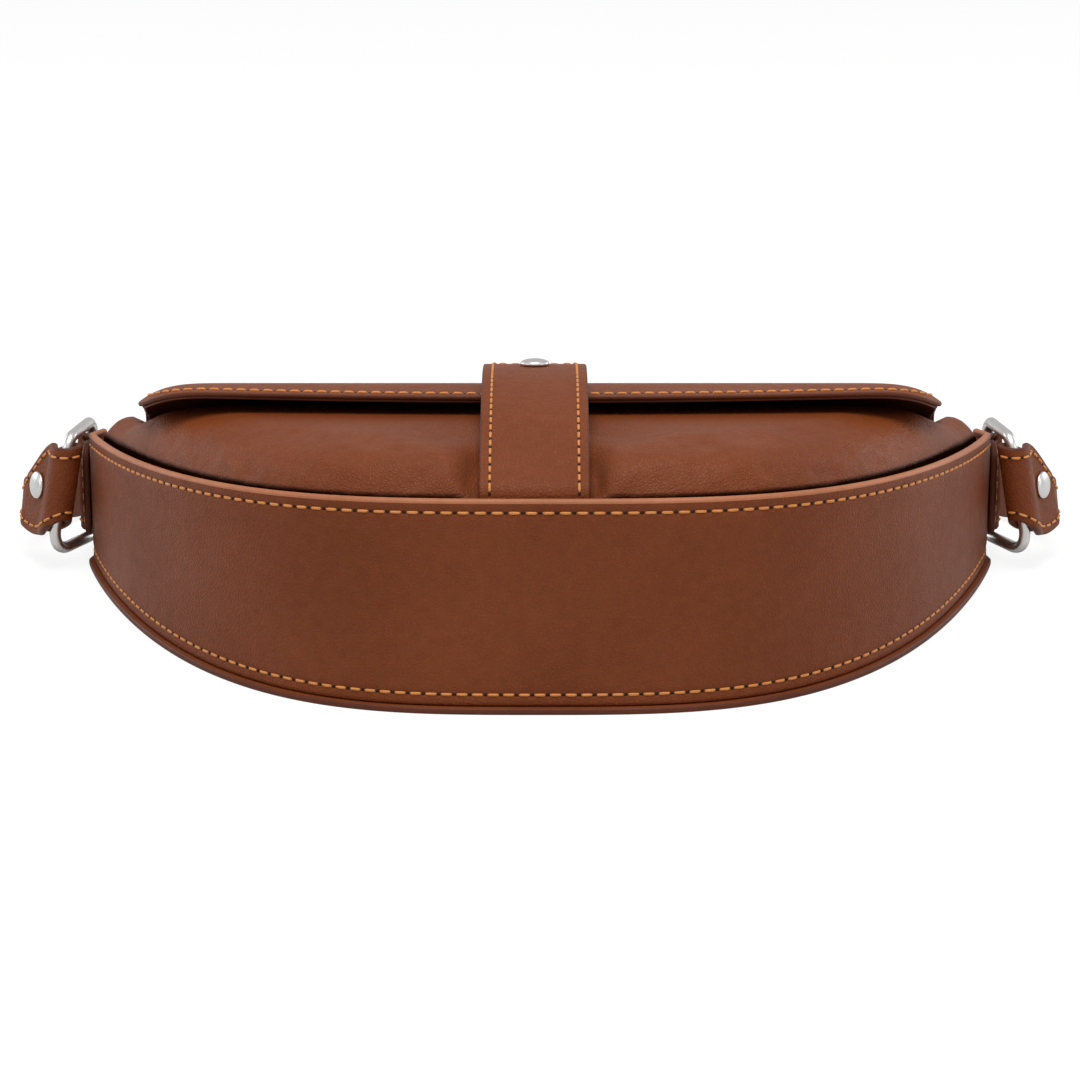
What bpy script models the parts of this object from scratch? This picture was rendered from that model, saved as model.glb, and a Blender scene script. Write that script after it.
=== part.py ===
"""Crescent shoulder bag, lying on its flat back.

X runs along the bag's width, +Y from its curved bottom to its mouth and strap,
and +Z out through its padded front. The origin is the middle of the back's outer face.
The body is a crescent: a flat back, one long gusset round the curved edge and a padded
front panel. A flap hinged at the back's top edge covers the mouth, and a closure strap,
sewn into the bottom seam, comes up over the flap to a snap. A ring at each horn carries
the shoulder strap. Every size is in metres.
"""

import math

import bmesh
import bpy
import numpy as np
from mathutils import Matrix, Vector

mm = 0.001

# Driving dimensions of the body
body_half_width = 148 * mm
widest_height = 146 * mm
horn_height = 10 * mm
body_height = widest_height + horn_height
bottom_depth = 65 * mm
front_slope_share = 0.135
outline_width_share = 0.625
outline_height_share = 1.8

# Fits
seam_gap = 0.3 * mm
overrun = 5 * mm
merge_distance = 0.01 * mm
prism_half = 1 * mm

# Leather, board and foam
back_thickness = 2.0 * mm
back_lip = 1.2 * mm
board_thickness = 1.2 * mm
board_inset = 6 * mm
gusset_thickness = 2.4 * mm
gusset_board_thickness = 1.0 * mm
skin_thickness = 1.5 * mm
skin_edge_drop = 1.5 * mm
foam_edge_thickness = 3.4 * mm
lining_thickness = 0.8 * mm

# Padded front
front_puff = 16.5 * mm
puff_reach = 5 * mm
puff_mouth_share = 0.12
puff_mouth_reach = 59 * mm
puff_horn_share = 0.58
puff_horn_overlap = 1.2 * mm
puff_horn_reach = 14 * mm
pinch_half_width = 25 * mm
pinch_reach = 17 * mm
pinch_depth = 1.5 * mm

# Slip pocket on the back wall of the lining
pocket_width = 120 * mm
pocket_height = 70 * mm
pocket_gape = 5.4 * mm
pocket_from_mouth = 22 * mm

# Flap
flap_end_margin = 23 * mm
flap_half_width = body_half_width - flap_end_margin
flap_thickness = 1.4 * mm
flap_lining_thickness = 0.8 * mm
flap_lining_inset = 1.0 * mm
flap_reach = 82 * mm
flap_front_height = 76.4 * mm
flap_bow = 10 * mm
flap_corner_radius = 17 * mm
flap_shoulder_radius = 7 * mm
flap_shoulder_start_share = 0.8
flap_first_slope_share = 0.05
flap_last_slope_share = 0.4
flap_level_reach = 14 * mm
flap_slope_reach = 20 * mm
flap_end_drop = 8 * mm
flap_end_reach = 30 * mm
flap_end_power = 4.2
flap_flare_share = 0.048
flap_end_fade = 70 * mm
flap_end_fade_share = 0.75
flap_running_gap = 1.8 * mm
flap_fold_height = 0.5 * mm
flap_row_shares = (0, 0.4, 0.85, 1)
flap_column_spread_share = 0.92

# Closure strap
closure_width = 31 * mm
closure_centre = -1.6 * mm
closure_thickness = 1.5 * mm
closure_lining_thickness = 0.8 * mm
closure_over_flap = 20 * mm
closure_run = body_height - flap_reach + closure_over_flap
closure_snap_slope_share = 0.15
closure_above_flap = 6.23 * mm
closure_fold_above_rim = 1.7 * mm
closure_anchor_gap = 0.7 * mm
closure_corner_share = 0.45
snap_from_end = 14 * mm
snap_cap_diameter = 9 * mm
snap_cap_height = 2.2 * mm
snap_post_diameter = 3.2 * mm
snap_socket_diameter = 13 * mm
snap_socket_height = 2.6 * mm
snap_neck_share = 0.6
snap_stud_height = 0.85 * mm
snap_search_reach = 40 * mm
snap_search_step = 0.02 * mm
snap_clearance = 0.4 * mm

# Rings and the tabs that hold them
ring_height = 43 * mm
ring_width = 28.8 * mm
ring_wire = 3.8 * mm
ring_corner_radius = 4.6 * mm
ring_foot_radius = 9 * mm
ring_low = 4.5 * mm
ring_stand_off = 0.8 * mm
ring_above_mouth = 4.6 * mm
ring_axis_out = body_half_width + ring_stand_off
ring_axis_up = body_height + ring_above_mouth
ring_splay = 8.2 * mm
ring_lean_share = 0.18
loop_clearance = 0.7 * mm
tab_width = ring_height - ring_wire - 2 * ring_corner_radius
tab_low = 9.5 * mm
tab_thickness = 2.4 * mm
tab_crown_turn = (math.radians(-50), math.radians(235))
tab_tail = 14 * mm

# Shoulder strap
strap_thickness = 2.4 * mm
strap_end_clearance = 1.0 * mm
strap_end_width = ring_height - 2 * ring_wire - 2 * strap_end_clearance
strap_width = 12 * mm
strap_taper_start = 3 * mm
strap_taper_length = 20 * mm
strap_neck_height = 18.6 * mm
strap_droop_start = 24 * mm
strap_droop_length = 45 * mm
strap_notch_height = 10 * mm
strap_notch_length = 26 * mm
strap_lean_start = 17 * mm
strap_lean_length = 20 * mm
strap_arch_lean_share = 0.3
strap_end_lean = math.radians(32)
strap_end_straight = 21 * mm
strap_tail_length = 17.5 * mm
strap_closing_length = 9 * mm
strap_arch_flare = 14 * mm
strap_arch_half_width = ring_axis_out + ring_splay + strap_arch_flare
strap_arch_height = 290 * mm
strap_floor_gap = 0.6 * mm
strap_lining_thickness = 1.0 * mm
strap_lining_start_share = 0.2
strap_arch_out_shares = (1.0, 0.962, 0.862, 0.70, 0.49, 0.25)
strap_arch_up_shares = (0.093, 0.317, 0.541, 0.744, 0.898, 0.979)
rivet_cap_diameter = 9 * mm
rivet_cap_height = 2.0 * mm
rivet_post_diameter = 3.0 * mm
rivet_washer_diameter = 7.5 * mm
rivet_washer_height = 1.0 * mm
rivet_along = 12 * mm
rivet_clearance = 0.25 * mm
rivet_height_share = 0.6

# Counts
outline_samples = 1201
outline_points = 49
edge_samples = 241
fan_rings = 9
fan_spread_power = 1.2
crease_angle = math.radians(40)
dome_points = 6
dome_edge_share = 0.25
flap_columns = 28
flap_front_points = 40
flap_rows = 20
shoulder_points = 12
closure_rows = 14
closure_columns = 8
snap_search_points = 9
ring_corner_points = 6
tab_rows = 5
strap_tail_points = 9
strap_end_points = 8
strap_span_points = 7
loop_points = 12
turned_steps = 24


def clear_objects():
    """Empty the scene that the script runs in."""
    for item in list(bpy.data.objects):
        bpy.data.objects.remove(item, do_unlink=True)


def new_collection(name):
    """Make a collection in the scene."""
    made = bpy.data.collections.new(name)
    bpy.context.scene.collection.children.link(made)
    return made


def material(name, colour, roughness, metallic=0.0):
    """Make a plain Principled material."""
    made = bpy.data.materials.new(name)
    made.use_nodes = True
    shader = made.node_tree.nodes["Principled BSDF"]
    shader.inputs["Base Color"].default_value = (*colour, 1.0)
    shader.inputs["Roughness"].default_value = roughness
    shader.inputs["Metallic"].default_value = metallic
    return made


def add_object(name, mesh, finish):
    """Put a mesh in the bag's collection with its own material."""
    made = bpy.data.objects.new(name, mesh)
    bag.objects.link(made)
    mesh.materials.clear()
    mesh.materials.append(material(name + "_finish", *finish))
    return made


def from_bottom(height):
    """World Y of a height measured from the bottom of the body."""
    return height - body_height / 2


def height_of(y):
    """Height above the bottom of the body of a world Y."""
    return y + body_height / 2


def outline(inset, count=outline_points):
    """Points of the crescent's edge, moved inwards, from the left horn to the right one."""
    top_share = ((body_height - widest_height) / widest_height) ** (1 / outline_height_share)
    last = math.acos(-top_share)
    angle = np.linspace(-last, last, outline_samples)
    x = body_half_width * np.sign(angle) * np.abs(np.sin(angle)) ** outline_width_share
    fall = np.sign(np.cos(angle)) * np.abs(np.cos(angle)) ** outline_height_share
    y = widest_height * (1 - fall)
    line = np.column_stack([x, y])
    run = np.concatenate([[0], np.cumsum(np.linalg.norm(np.diff(line, axis=0), axis=1))])
    even = np.linspace(0, run[-1], count)
    line = np.column_stack([np.interp(even, run, x), np.interp(even, run, y)])
    along = np.gradient(line, axis=0)
    along /= np.linalg.norm(along, axis=1)[:, None]
    inward = np.column_stack([-along[:, 1], along[:, 0]])
    line = line + inward * inset
    line[0, 1] = body_height
    line[-1, 1] = body_height
    line[:, 1] = from_bottom(line[:, 1])
    return line


def rim_height(y):
    """Z of the gusset's sloping front edge at a world Y."""
    return bottom_depth - front_slope_share * height_of(y)


def rim_less(drop):
    """A height function that follows the rim, lower by drop."""
    return lambda x, y: rim_height(y) - drop


def level(z):
    """A height function for a flat level."""
    return lambda x, y: z


def prism_mesh(name, loops, low, high):
    """Fill outlines as a 2D curve, extrude them, and put each end at its height function."""
    flat = bpy.data.curves.new(name, "CURVE")
    flat.dimensions = "2D"
    flat.fill_mode = "BOTH"
    flat.extrude = prism_half
    for loop in loops:
        spline = flat.splines.new("POLY")
        spline.points.add(len(loop) - 1)
        for point, place in zip(spline.points, loop):
            point.co = (place[0], place[1], 0, 1)
        spline.use_cyclic_u = True
    holder = bpy.data.objects.new(name + "_outline", flat)
    bag.objects.link(holder)
    bpy.context.view_layer.update()
    seen = holder.evaluated_get(bpy.context.evaluated_depsgraph_get())
    mesh = bpy.data.meshes.new_from_object(seen)
    bpy.data.objects.remove(holder, do_unlink=True)
    bpy.data.curves.remove(flat)
    work = bmesh.new()
    work.from_mesh(mesh)
    bmesh.ops.remove_doubles(work, verts=work.verts, dist=merge_distance)
    for vert in work.verts:
        place = high if vert.co.z > 0 else low
        vert.co.z = place(vert.co.x, vert.co.y)
    bmesh.ops.recalc_face_normals(work, faces=work.faces)
    work.to_mesh(mesh)
    work.free()
    return mesh


def prism(name, loops, low, high, finish):
    """A solid with straight walls over filled outlines."""
    return add_object(name, prism_mesh(name, loops, low, high), finish)


def band_outline(outer_inset, inner_inset):
    """A closed outline for a strip that follows the crescent's edge."""
    return np.vstack([outline(outer_inset), outline(inner_inset)[::-1]])


def edge_distance(x, y):
    """Distance from a place on the front to the nearest point of the front panel's edge."""
    near = np.hypot(front_edge[:, 0] - x, front_edge[:, 1] - y)
    return float(near.min())


def puff(x, y):
    """How far the padded front stands above its sewn edge: flat by the mouth, fuller at the horns."""
    inside = edge_distance(x, y)
    height = height_of(y)
    rise = 1 - math.exp(-inside / puff_reach)
    toward_mouth = max(0.0, 1 - (body_height - height) / puff_mouth_reach)
    ease = (3 - 2 * toward_mouth) * toward_mouth ** 2
    beside = min(1.0, max(0.0, (abs(x) - flap_half_width + puff_horn_overlap) / puff_horn_reach))
    fuller = (puff_horn_share - puff_mouth_share) * (3 - 2 * beside) * beside ** 2
    left = puff_mouth_share + fuller * ease
    fall = 1 - (1 - left) * ease
    aside = (x - closure_centre) / pinch_half_width
    pinch = math.exp(-aside ** 4 - (inside / pinch_reach) ** 2)
    return front_puff * rise * fall * (1 - pinch) - pinch_depth * pinch


def skin_top(x, y):
    """Z of the padded front's outer face."""
    return rim_height(y) - skin_edge_drop + puff(x, y)


def skin_less(drop):
    """A height function that follows the padded front, lower by drop."""
    return lambda x, y: skin_top(x, y) - drop


def fan_solid(name, inset, low, high, finish):
    """A crescent solid whose faces fan out from the middle of the mouth to the edge."""
    edge = outline(inset)
    centre = np.array([0, edge[0, 1]])
    work = bmesh.new()
    bmesh.ops.create_grid(work, x_segments=fan_rings, y_segments=len(edge) - 1, size=1)
    for vert in work.verts:
        ring = (vert.co.x + 1) / 2
        ring = math.sin(ring * math.pi / 2) ** fan_spread_power
        step = round((vert.co.y + 1) / 2 * (len(edge) - 1))
        place = centre + (edge[step] - centre) * ring
        vert.co = (place[0], place[1], 0)
    bmesh.ops.remove_doubles(work, verts=work.verts, dist=merge_distance)
    lower = list(work.verts)
    raised = bmesh.ops.extrude_face_region(work, geom=list(work.faces), use_keep_orig=True)
    upper = [item for item in raised["geom"] if isinstance(item, bmesh.types.BMVert)]
    for verts, place in ((lower, low), (upper, high)):
        for vert in verts:
            vert.co.z = place(vert.co.x, vert.co.y)
    bmesh.ops.recalc_face_normals(work, faces=work.faces)
    mesh = bpy.data.meshes.new(name)
    work.to_mesh(mesh)
    work.free()
    mesh.shade_smooth()
    mesh.set_sharp_from_angle(angle=crease_angle)
    return add_object(name, mesh, finish)


def bent_sheet(name, columns, rows, surface, thickness, finish, start_offset=0.0):
    """A thick sheet: a grid bent to surface(u, v, offset) on both of its faces."""
    work = bmesh.new()
    bmesh.ops.create_grid(work, x_segments=columns, y_segments=rows, size=1)
    shares = {vert: ((vert.co.x + 1) / 2, (vert.co.y + 1) / 2) for vert in work.verts}
    order = sorted(work.verts, key=lambda vert: vert.index)
    inner_shares = [shares[vert] for vert in order]
    raised = bmesh.ops.extrude_face_region(work, geom=list(work.faces), use_keep_orig=True)
    upper = [item for item in raised["geom"] if isinstance(item, bmesh.types.BMVert)]
    for vert in upper:
        u, v = (vert.co.x + 1) / 2, (vert.co.y + 1) / 2
        vert.co = surface(u, v, start_offset)
    for vert, (u, v) in zip(order, inner_shares):
        vert.co = surface(u, v, start_offset + thickness)
    bmesh.ops.recalc_face_normals(work, faces=work.faces)
    mesh = bpy.data.meshes.new(name)
    work.to_mesh(mesh)
    work.free()
    mesh.shade_smooth()
    mesh.set_sharp_from_angle(angle=crease_angle)
    return add_object(name, mesh, finish)


def cutter_object(name, mesh):
    """Keep a mesh as a cutter, out of the bag's own collection."""
    made = bpy.data.objects.new(name, mesh)
    cutters.objects.link(made)
    made.hide_render = True
    made.display_type = "WIRE"
    return made


def cut(target, cutter):
    """Cut a solid with a cutter."""
    step = target.modifiers.new("cut_" + cutter.name, "BOOLEAN")
    step.operation = "DIFFERENCE"
    step.solver = "EXACT"
    step.object = cutter


def cylinder_mesh(name, diameter, length, sides=turned_steps):
    """A cylinder about Z from zero up to its length."""
    work = bmesh.new()
    bmesh.ops.create_cone(work, cap_ends=True, segments=sides, radius1=diameter / 2,
                          radius2=diameter / 2, depth=length)
    bmesh.ops.translate(work, verts=work.verts, vec=(0, 0, length / 2))
    mesh = bpy.data.meshes.new(name)
    work.to_mesh(mesh)
    work.free()
    return mesh


def turned(name, profile, place, finish):
    """Turn a profile of radius and height pairs about the Z axis of place."""
    mesh = bpy.data.meshes.new(name)
    points = [(radius, 0, height) for radius, height in profile]
    edges = [(i, i + 1) for i in range(len(points) - 1)]
    mesh.from_pydata(points, edges, [])
    made = add_object(name, mesh, finish)
    made.matrix_world = place
    screw = made.modifiers.new("turn", "SCREW")
    screw.axis = "Z"
    screw.steps = turned_steps
    screw.render_steps = turned_steps
    screw.use_merge_vertices = True
    screw.merge_threshold = merge_distance
    screw.use_smooth_shade = True
    return made


def dome_profile(cap_diameter, cap_height, post_diameter, post_length, foot_diameter, foot_height):
    """Half section of a domed fastener: cap above zero, post below it, and a round foot."""
    cap_radius, post_radius, foot_radius = cap_diameter / 2, post_diameter / 2, foot_diameter / 2
    edge = cap_height * dome_edge_share
    arc = [(cap_radius * math.cos(a), edge + (cap_height - edge) * math.sin(a))
           for a in np.linspace(math.pi / 2, 0, dome_points)]
    arc[0] = (0, cap_height)
    return arc + [
        (cap_radius, 0), (post_radius, 0), (post_radius, -post_length),
        (foot_radius, -post_length), (foot_radius, -post_length - foot_height),
        (0, -post_length - foot_height)]


def facing(place, direction):
    """A matrix at a place whose Z axis points along a direction."""
    turn = Vector(direction).to_track_quat("Z", "Y").to_matrix().to_4x4()
    return Matrix.Translation(Vector(place)) @ turn


leather = ((0.152, 0.041, 0.016), 0.5)
leather_dark = ((0.09, 0.024, 0.01), 0.6)
lining_cloth = ((0.055, 0.02, 0.012), 0.85)
board = ((0.32, 0.25, 0.17), 0.9)
foam = ((0.55, 0.5, 0.4), 0.95)
steel = ((0.62, 0.61, 0.6), 0.3, 1.0)

clear_objects()
bag = new_collection("crescent_shoulder_bag")
cutters = new_collection("cutters")

# Walls of the body, from the outside in
skin_inset = gusset_thickness + seam_gap
front_edge = outline(skin_inset, edge_samples)
gusset_board_inset = gusset_thickness + seam_gap
lining_inset = gusset_board_inset + gusset_board_thickness + seam_gap
stack_low = back_thickness + seam_gap
lining_low = stack_low + board_thickness + seam_gap
foam_bottom_drop = skin_edge_drop + skin_thickness + seam_gap + foam_edge_thickness
backing_top_drop = foam_bottom_drop + seam_gap
lining_top_drop = backing_top_drop + board_thickness + seam_gap

prism("back_panel", [outline(-back_lip)], level(0), level(back_thickness), leather)
prism("back_stiffener", [outline(lining_inset + board_inset)], level(stack_low),
      level(stack_low + board_thickness), board)
prism("gusset", [band_outline(0, gusset_thickness)], level(stack_low), rim_less(0), leather)
prism("gusset_stiffener",
      [band_outline(gusset_board_inset, gusset_board_inset + gusset_board_thickness)],
      level(stack_low), rim_less(lining_top_drop), board)

fan_solid("front_panel", skin_inset, skin_less(skin_thickness), skin_less(0), leather)
fan_solid("front_foam", skin_inset, rim_less(foam_bottom_drop),
          skin_less(skin_thickness + seam_gap), foam)
prism("front_backing", [outline(skin_inset)], rim_less(backing_top_drop + board_thickness),
      rim_less(backing_top_drop), board)


def lining_piece():
    """The lining: a closed crescent hollowed from the mouth, one wall thick all round."""
    made = prism("lining", [outline(lining_inset)], level(lining_low),
                 rim_less(lining_top_drop), lining_cloth)
    hollow = outline(lining_inset + lining_thickness)
    hollow = np.vstack([hollow[:1] + [0, overrun], hollow, hollow[-1:] + [0, overrun]])
    mesh = prism_mesh("lining_hollow", [hollow], level(lining_low + lining_thickness),
                      rim_less(lining_top_drop + lining_thickness))
    cut(made, cutter_object("lining_hollow", mesh))
    return made


def pocket_piece():
    """A slip pocket: a shallow tray standing off the lining's back wall, open at its top."""
    wall = lining_thickness
    low = lining_low + lining_thickness + seam_gap
    high = low + pocket_gape + wall
    top = from_bottom(body_height - pocket_from_mouth)
    half = pocket_width / 2
    base = top - pocket_height
    outer = [(-half, base), (half, base), (half, top), (-half, top)]
    inner = [(-half + wall, base + wall), (half - wall, base + wall),
             (half - wall, top + overrun), (-half + wall, top + overrun)]
    made = prism("slip_pocket", [outer], level(low), level(high), lining_cloth)
    mesh = prism_mesh("pocket_hollow", [inner], level(low - overrun), level(low + pocket_gape))
    cut(made, cutter_object("pocket_hollow", mesh))
    return made


lining_piece()
pocket_piece()


# Flap: a spine that stands across the mouth, a rounded shoulder and a front that slopes down to it
spine_face = from_bottom(body_height) + seam_gap + flap_running_gap + flap_lining_thickness
spine_face += seam_gap + flap_thickness
flap_fold = Vector((0, spine_face, flap_fold_height))


def flap_front_rise(run):
    """Height of the flap's outer face above its front edge, run metres behind the edge."""
    bending = min(max(0.0, run - flap_level_reach), flap_slope_reach)
    beyond = max(0.0, run - flap_level_reach - flap_slope_reach)
    change = (flap_last_slope_share - flap_first_slope_share) / flap_slope_reach
    fall = flap_first_slope_share * (run - beyond) + change * bending ** 2 / 2
    return -(fall + flap_last_slope_share * beyond)


def flap_profile():
    """The flap's outer face at its middle, from its front edge to its fold, as Y, Z points."""
    front = from_bottom(body_height - flap_reach)
    top_run = spine_face - flap_shoulder_radius * flap_shoulder_start_share - front
    runs = np.linspace(0, top_run, flap_front_points)
    points = [(front + run, flap_front_height + flap_front_rise(run)) for run in runs]
    lean = math.atan(flap_last_slope_share)
    last = points[-1]
    centre = (last[0] - flap_shoulder_radius * math.sin(lean),
              last[1] - flap_shoulder_radius * math.cos(lean))
    reach = spine_face - centre[0]
    turn = np.linspace(math.pi / 2 - lean, 0, shoulder_points)[1:]
    start = (last[0] - centre[0], last[1] - centre[1])
    stretch = (reach - start[0]) / (flap_shoulder_radius - start[0])
    for angle in turn:
        out = flap_shoulder_radius * math.cos(angle)
        points.append((centre[0] + start[0] + (out - start[0]) * stretch,
                       centre[1] + flap_shoulder_radius * math.sin(angle)))
    points.append((spine_face, flap_fold.z))
    return np.array(points)


flap_line = flap_profile()
flap_run = np.concatenate([[0], np.cumsum(np.linalg.norm(np.diff(flap_line, axis=0), axis=1))])
flap_along = np.gradient(flap_line, axis=0) / np.gradient(flap_run)[:, None]
flap_along /= np.linalg.norm(flap_along, axis=1)[:, None]
flap_inward = np.column_stack([flap_along[:, 1], -flap_along[:, 0]])


def flap_row_run(v, first):
    """Run at a row of the flap, with the rows closer together round its shoulder."""
    stops = (first, flap_run[flap_front_points - 1], flap_run[-2], flap_run[-1])
    return np.interp(v, flap_row_shares, stops)


def flap_point(x, run, offset):
    """A place on the flap: run from the front edge, and offset inwards. It widens to the mouth."""
    y = np.interp(run, flap_run, flap_line[:, 0])
    z = np.interp(run, flap_run, flap_line[:, 1])
    ny = np.interp(run, flap_run, flap_inward[:, 0])
    nz = np.interp(run, flap_run, flap_inward[:, 1])
    size = math.hypot(ny, nz)
    past = max(merge_distance, (abs(x) - (flap_half_width - flap_end_reach)) / flap_end_reach)
    on_top = max(0.0, min(1.0, (z - flap_fold.z) / (flap_front_height - flap_fold.z)))
    fade = on_top * (1 - flap_end_fade_share * min(1.0, run / flap_end_fade))
    drop = flap_end_drop * fade * past ** flap_end_power
    lean = flap_end_power * drop / past / flap_end_reach
    side = math.copysign(offset * lean / math.hypot(1, lean), x) if x else 0.0
    flare = 1 + flap_flare_share * min(1.0, run / flap_reach)
    return ((x - side) * flare, y + offset * ny / size, z - drop + offset * nz / size)


def flap_front_run(x, half_width, corner):
    """Where the flap's front edge lies at x: bowed, with rounded corners."""
    run = flap_bow * (x / half_width) ** 2
    past = abs(x) - (half_width - corner)
    if past > 0:
        run += corner - math.sqrt(max(0.0, corner ** 2 - past ** 2))
    return run


def flap_columns_share(u):
    """Spread columns towards the flap's ends."""
    widest = math.pi / 2 * flap_column_spread_share
    return math.sin((2 * u - 1) * widest) / math.sin(widest)


def flap_sheet(name, inset, start_offset, thickness, finish):
    """One layer of the flap."""
    half_width = flap_half_width - inset
    corner = flap_corner_radius - inset

    def surface(u, v, offset):
        x = half_width * flap_columns_share(u)
        first = flap_front_run(x, half_width, corner) + inset
        return flap_point(x, flap_row_run(v, first), offset)

    return bent_sheet(name, flap_columns, flap_rows, surface, thickness, finish, start_offset)


flap_sheet("flap", 0, 0, flap_thickness, leather)
flap_sheet("flap_lining", flap_lining_inset, flap_thickness + seam_gap, flap_lining_thickness,
           leather_dark)


# Closure strap: an anchor sewn into the bottom seam and the strap that folds up from it
closure_total = closure_thickness + seam_gap + closure_lining_thickness
closure_seat = from_bottom(gusset_thickness + seam_gap)
closure_middle = closure_seat + closure_total / 2
closure_fold = Vector((0, closure_middle, rim_height(closure_middle) + closure_fold_above_rim))
closure_side = closure_width / 2
snap_run = closure_run - snap_from_end
snap_over_edge = closure_fold.y + snap_run - from_bottom(body_height - flap_reach)
snap_height = flap_front_height + flap_front_rise(snap_over_edge) + closure_above_flap
closure_first_slope = 2 * (snap_height - closure_fold.z) / snap_run + closure_snap_slope_share
closure_bend = 2 * snap_run / (closure_first_slope + closure_snap_slope_share)


def closure_line(run):
    """Middle line of the closure strap, run metres in Y past its fold."""
    rise = closure_first_slope * run - run ** 2 / closure_bend
    slope = closure_first_slope - 2 * run / closure_bend
    return closure_fold.y + run, closure_fold.z + rise, slope


def closure_sheet(name, inset, start_offset, thickness, finish):
    """One layer of the closure strap, measured inwards from its outer face."""
    side = closure_side - inset

    def surface(u, v, offset):
        x = side * (2 * u - 1)
        corner = closure_side * closure_corner_share
        past = max(0.0, abs(x) - (closure_side - corner))
        end = closure_run - inset - (corner - math.sqrt(max(0.0, corner ** 2 - past ** 2)))
        y, z, slope = closure_line(end * v)
        out = closure_total / 2 - offset
        size = math.hypot(1, slope)
        return closure_centre + x, y - out * slope / size, z + out / size

    return bent_sheet(name, closure_columns, closure_rows, surface, thickness, finish, start_offset)


strap_top = closure_sheet("closure_strap", 0, 0, closure_thickness, leather)
strap_under = closure_sheet("closure_strap_lining", 0, closure_thickness + seam_gap,
                            closure_lining_thickness, leather_dark)
anchor_top = closure_fold.z - closure_total / 2 - seam_gap
anchor_low = skin_top(closure_centre + closure_side, closure_seat + closure_total) + closure_anchor_gap
anchor_sides = (closure_centre - closure_side, closure_centre + closure_side)
anchor_rows = (closure_seat, closure_seat + closure_total)
prism("closure_anchor",
      [[(anchor_sides[0], anchor_rows[0]), (anchor_sides[1], anchor_rows[0]),
        (anchor_sides[1], anchor_rows[1]), (anchor_sides[0], anchor_rows[1])]],
      level(anchor_low), level(anchor_top), leather)


def snap_pieces():
    """The snap: a domed cap with its socket on the strap, and a stud disc on the flap."""
    y, z, slope = closure_line(snap_run)
    up = Vector((0, -slope, 1)).normalized()
    top = Vector((closure_centre, y, z)) + up * (closure_total / 2 + seam_gap)
    post = closure_total + 2 * seam_gap
    place = facing(top, up)
    turned("snap_cap",
           dome_profile(snap_cap_diameter, snap_cap_height, snap_post_diameter, post,
                        snap_socket_diameter, snap_socket_height), place, steel)
    hole = cutter_object("snap_hole", cylinder_mesh(
        "snap_hole", snap_post_diameter + 2 * snap_clearance, post + 2 * overrun))
    hole.matrix_world = place @ Matrix.Translation((0, 0, -post - overrun))
    cut(strap_top, hole)
    cut(strap_under, hole)
    socket_face = top - up * (post + snap_socket_height + seam_gap)
    foot = snap_stud_height
    stud_top = socket_face - up * (flap_face_below(socket_face, up) - seam_gap - foot)
    radius = snap_socket_diameter / 2
    neck = radius * snap_neck_share
    turned("snap_stud", [(0, 0), (neck, 0), (neck, -foot / 2), (radius, -foot / 2),
                         (radius, -foot), (0, -foot)], facing(stud_top, up), steel)


def flap_face_below(place, up):
    """Distance from a place down the snap's axis to the flap's outer face, at its nearest."""
    radius = snap_socket_diameter / 2
    across = Vector((0, up.z, -up.y))
    found = []
    for side in np.linspace(-1, 1, snap_search_points):
        start = place + across * (radius * side)
        for step in np.arange(0, snap_search_reach, snap_search_step):
            spot = start - up * step
            face = np.interp(spot.y, flap_line[:flap_front_points, 0], flap_line[:flap_front_points, 1])
            if spot.z <= face:
                found.append(step)
                break
    return min(found)


snap_pieces()


# Rings and their tabs, mirrored at the two horns
ring_across = ring_width - ring_wire
ring_tall = ring_height - ring_wire
ring_middle = ring_low + ring_height / 2
ring_reach = math.sqrt(ring_across ** 2 - ring_splay ** 2)
wire_radius = ring_wire / 2


def ring_outline():
    """Middle line of the ring in its own plane: a rectangle, its outer foot corner rounder."""
    points = []
    for corner, (cx, cz) in enumerate(((1, 1), (-1, 1), (-1, -1), (1, -1))):
        radius = ring_foot_radius if cx > 0 > cz else ring_corner_radius
        across, tall = cx * (ring_across / 2 - radius), cz * (ring_tall / 2 - radius)
        for step in range(ring_corner_points):
            angle = math.pi / 2 * (corner + step / (ring_corner_points - 1))
            points.append((across + radius * math.cos(angle), tall + radius * math.sin(angle)))
    return points


def ring_piece(side, name):
    """A wire ring whose inner leg is its joint's axis, its outer leg leaning out at the foot."""
    wire = bpy.data.curves.new(name, "CURVE")
    wire.dimensions = "3D"
    wire.bevel_depth = wire_radius
    wire.bevel_resolution = 2
    points = ring_outline()
    spline = wire.splines.new("POLY")
    spline.points.add(len(points) - 1)
    for point, (out, up) in zip(spline.points, points):
        share = (out + ring_across / 2) / ring_across
        point.co = (side * (ring_splay - ring_lean_share * up) * share, -ring_reach * share, up, 1)
    spline.use_cyclic_u = True
    made = bpy.data.objects.new(name, wire)
    bag.objects.link(made)
    wire.materials.append(material(name + "_finish", *steel))
    made.location = (side * ring_axis_out, from_bottom(ring_axis_up), ring_middle)
    return made


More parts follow.
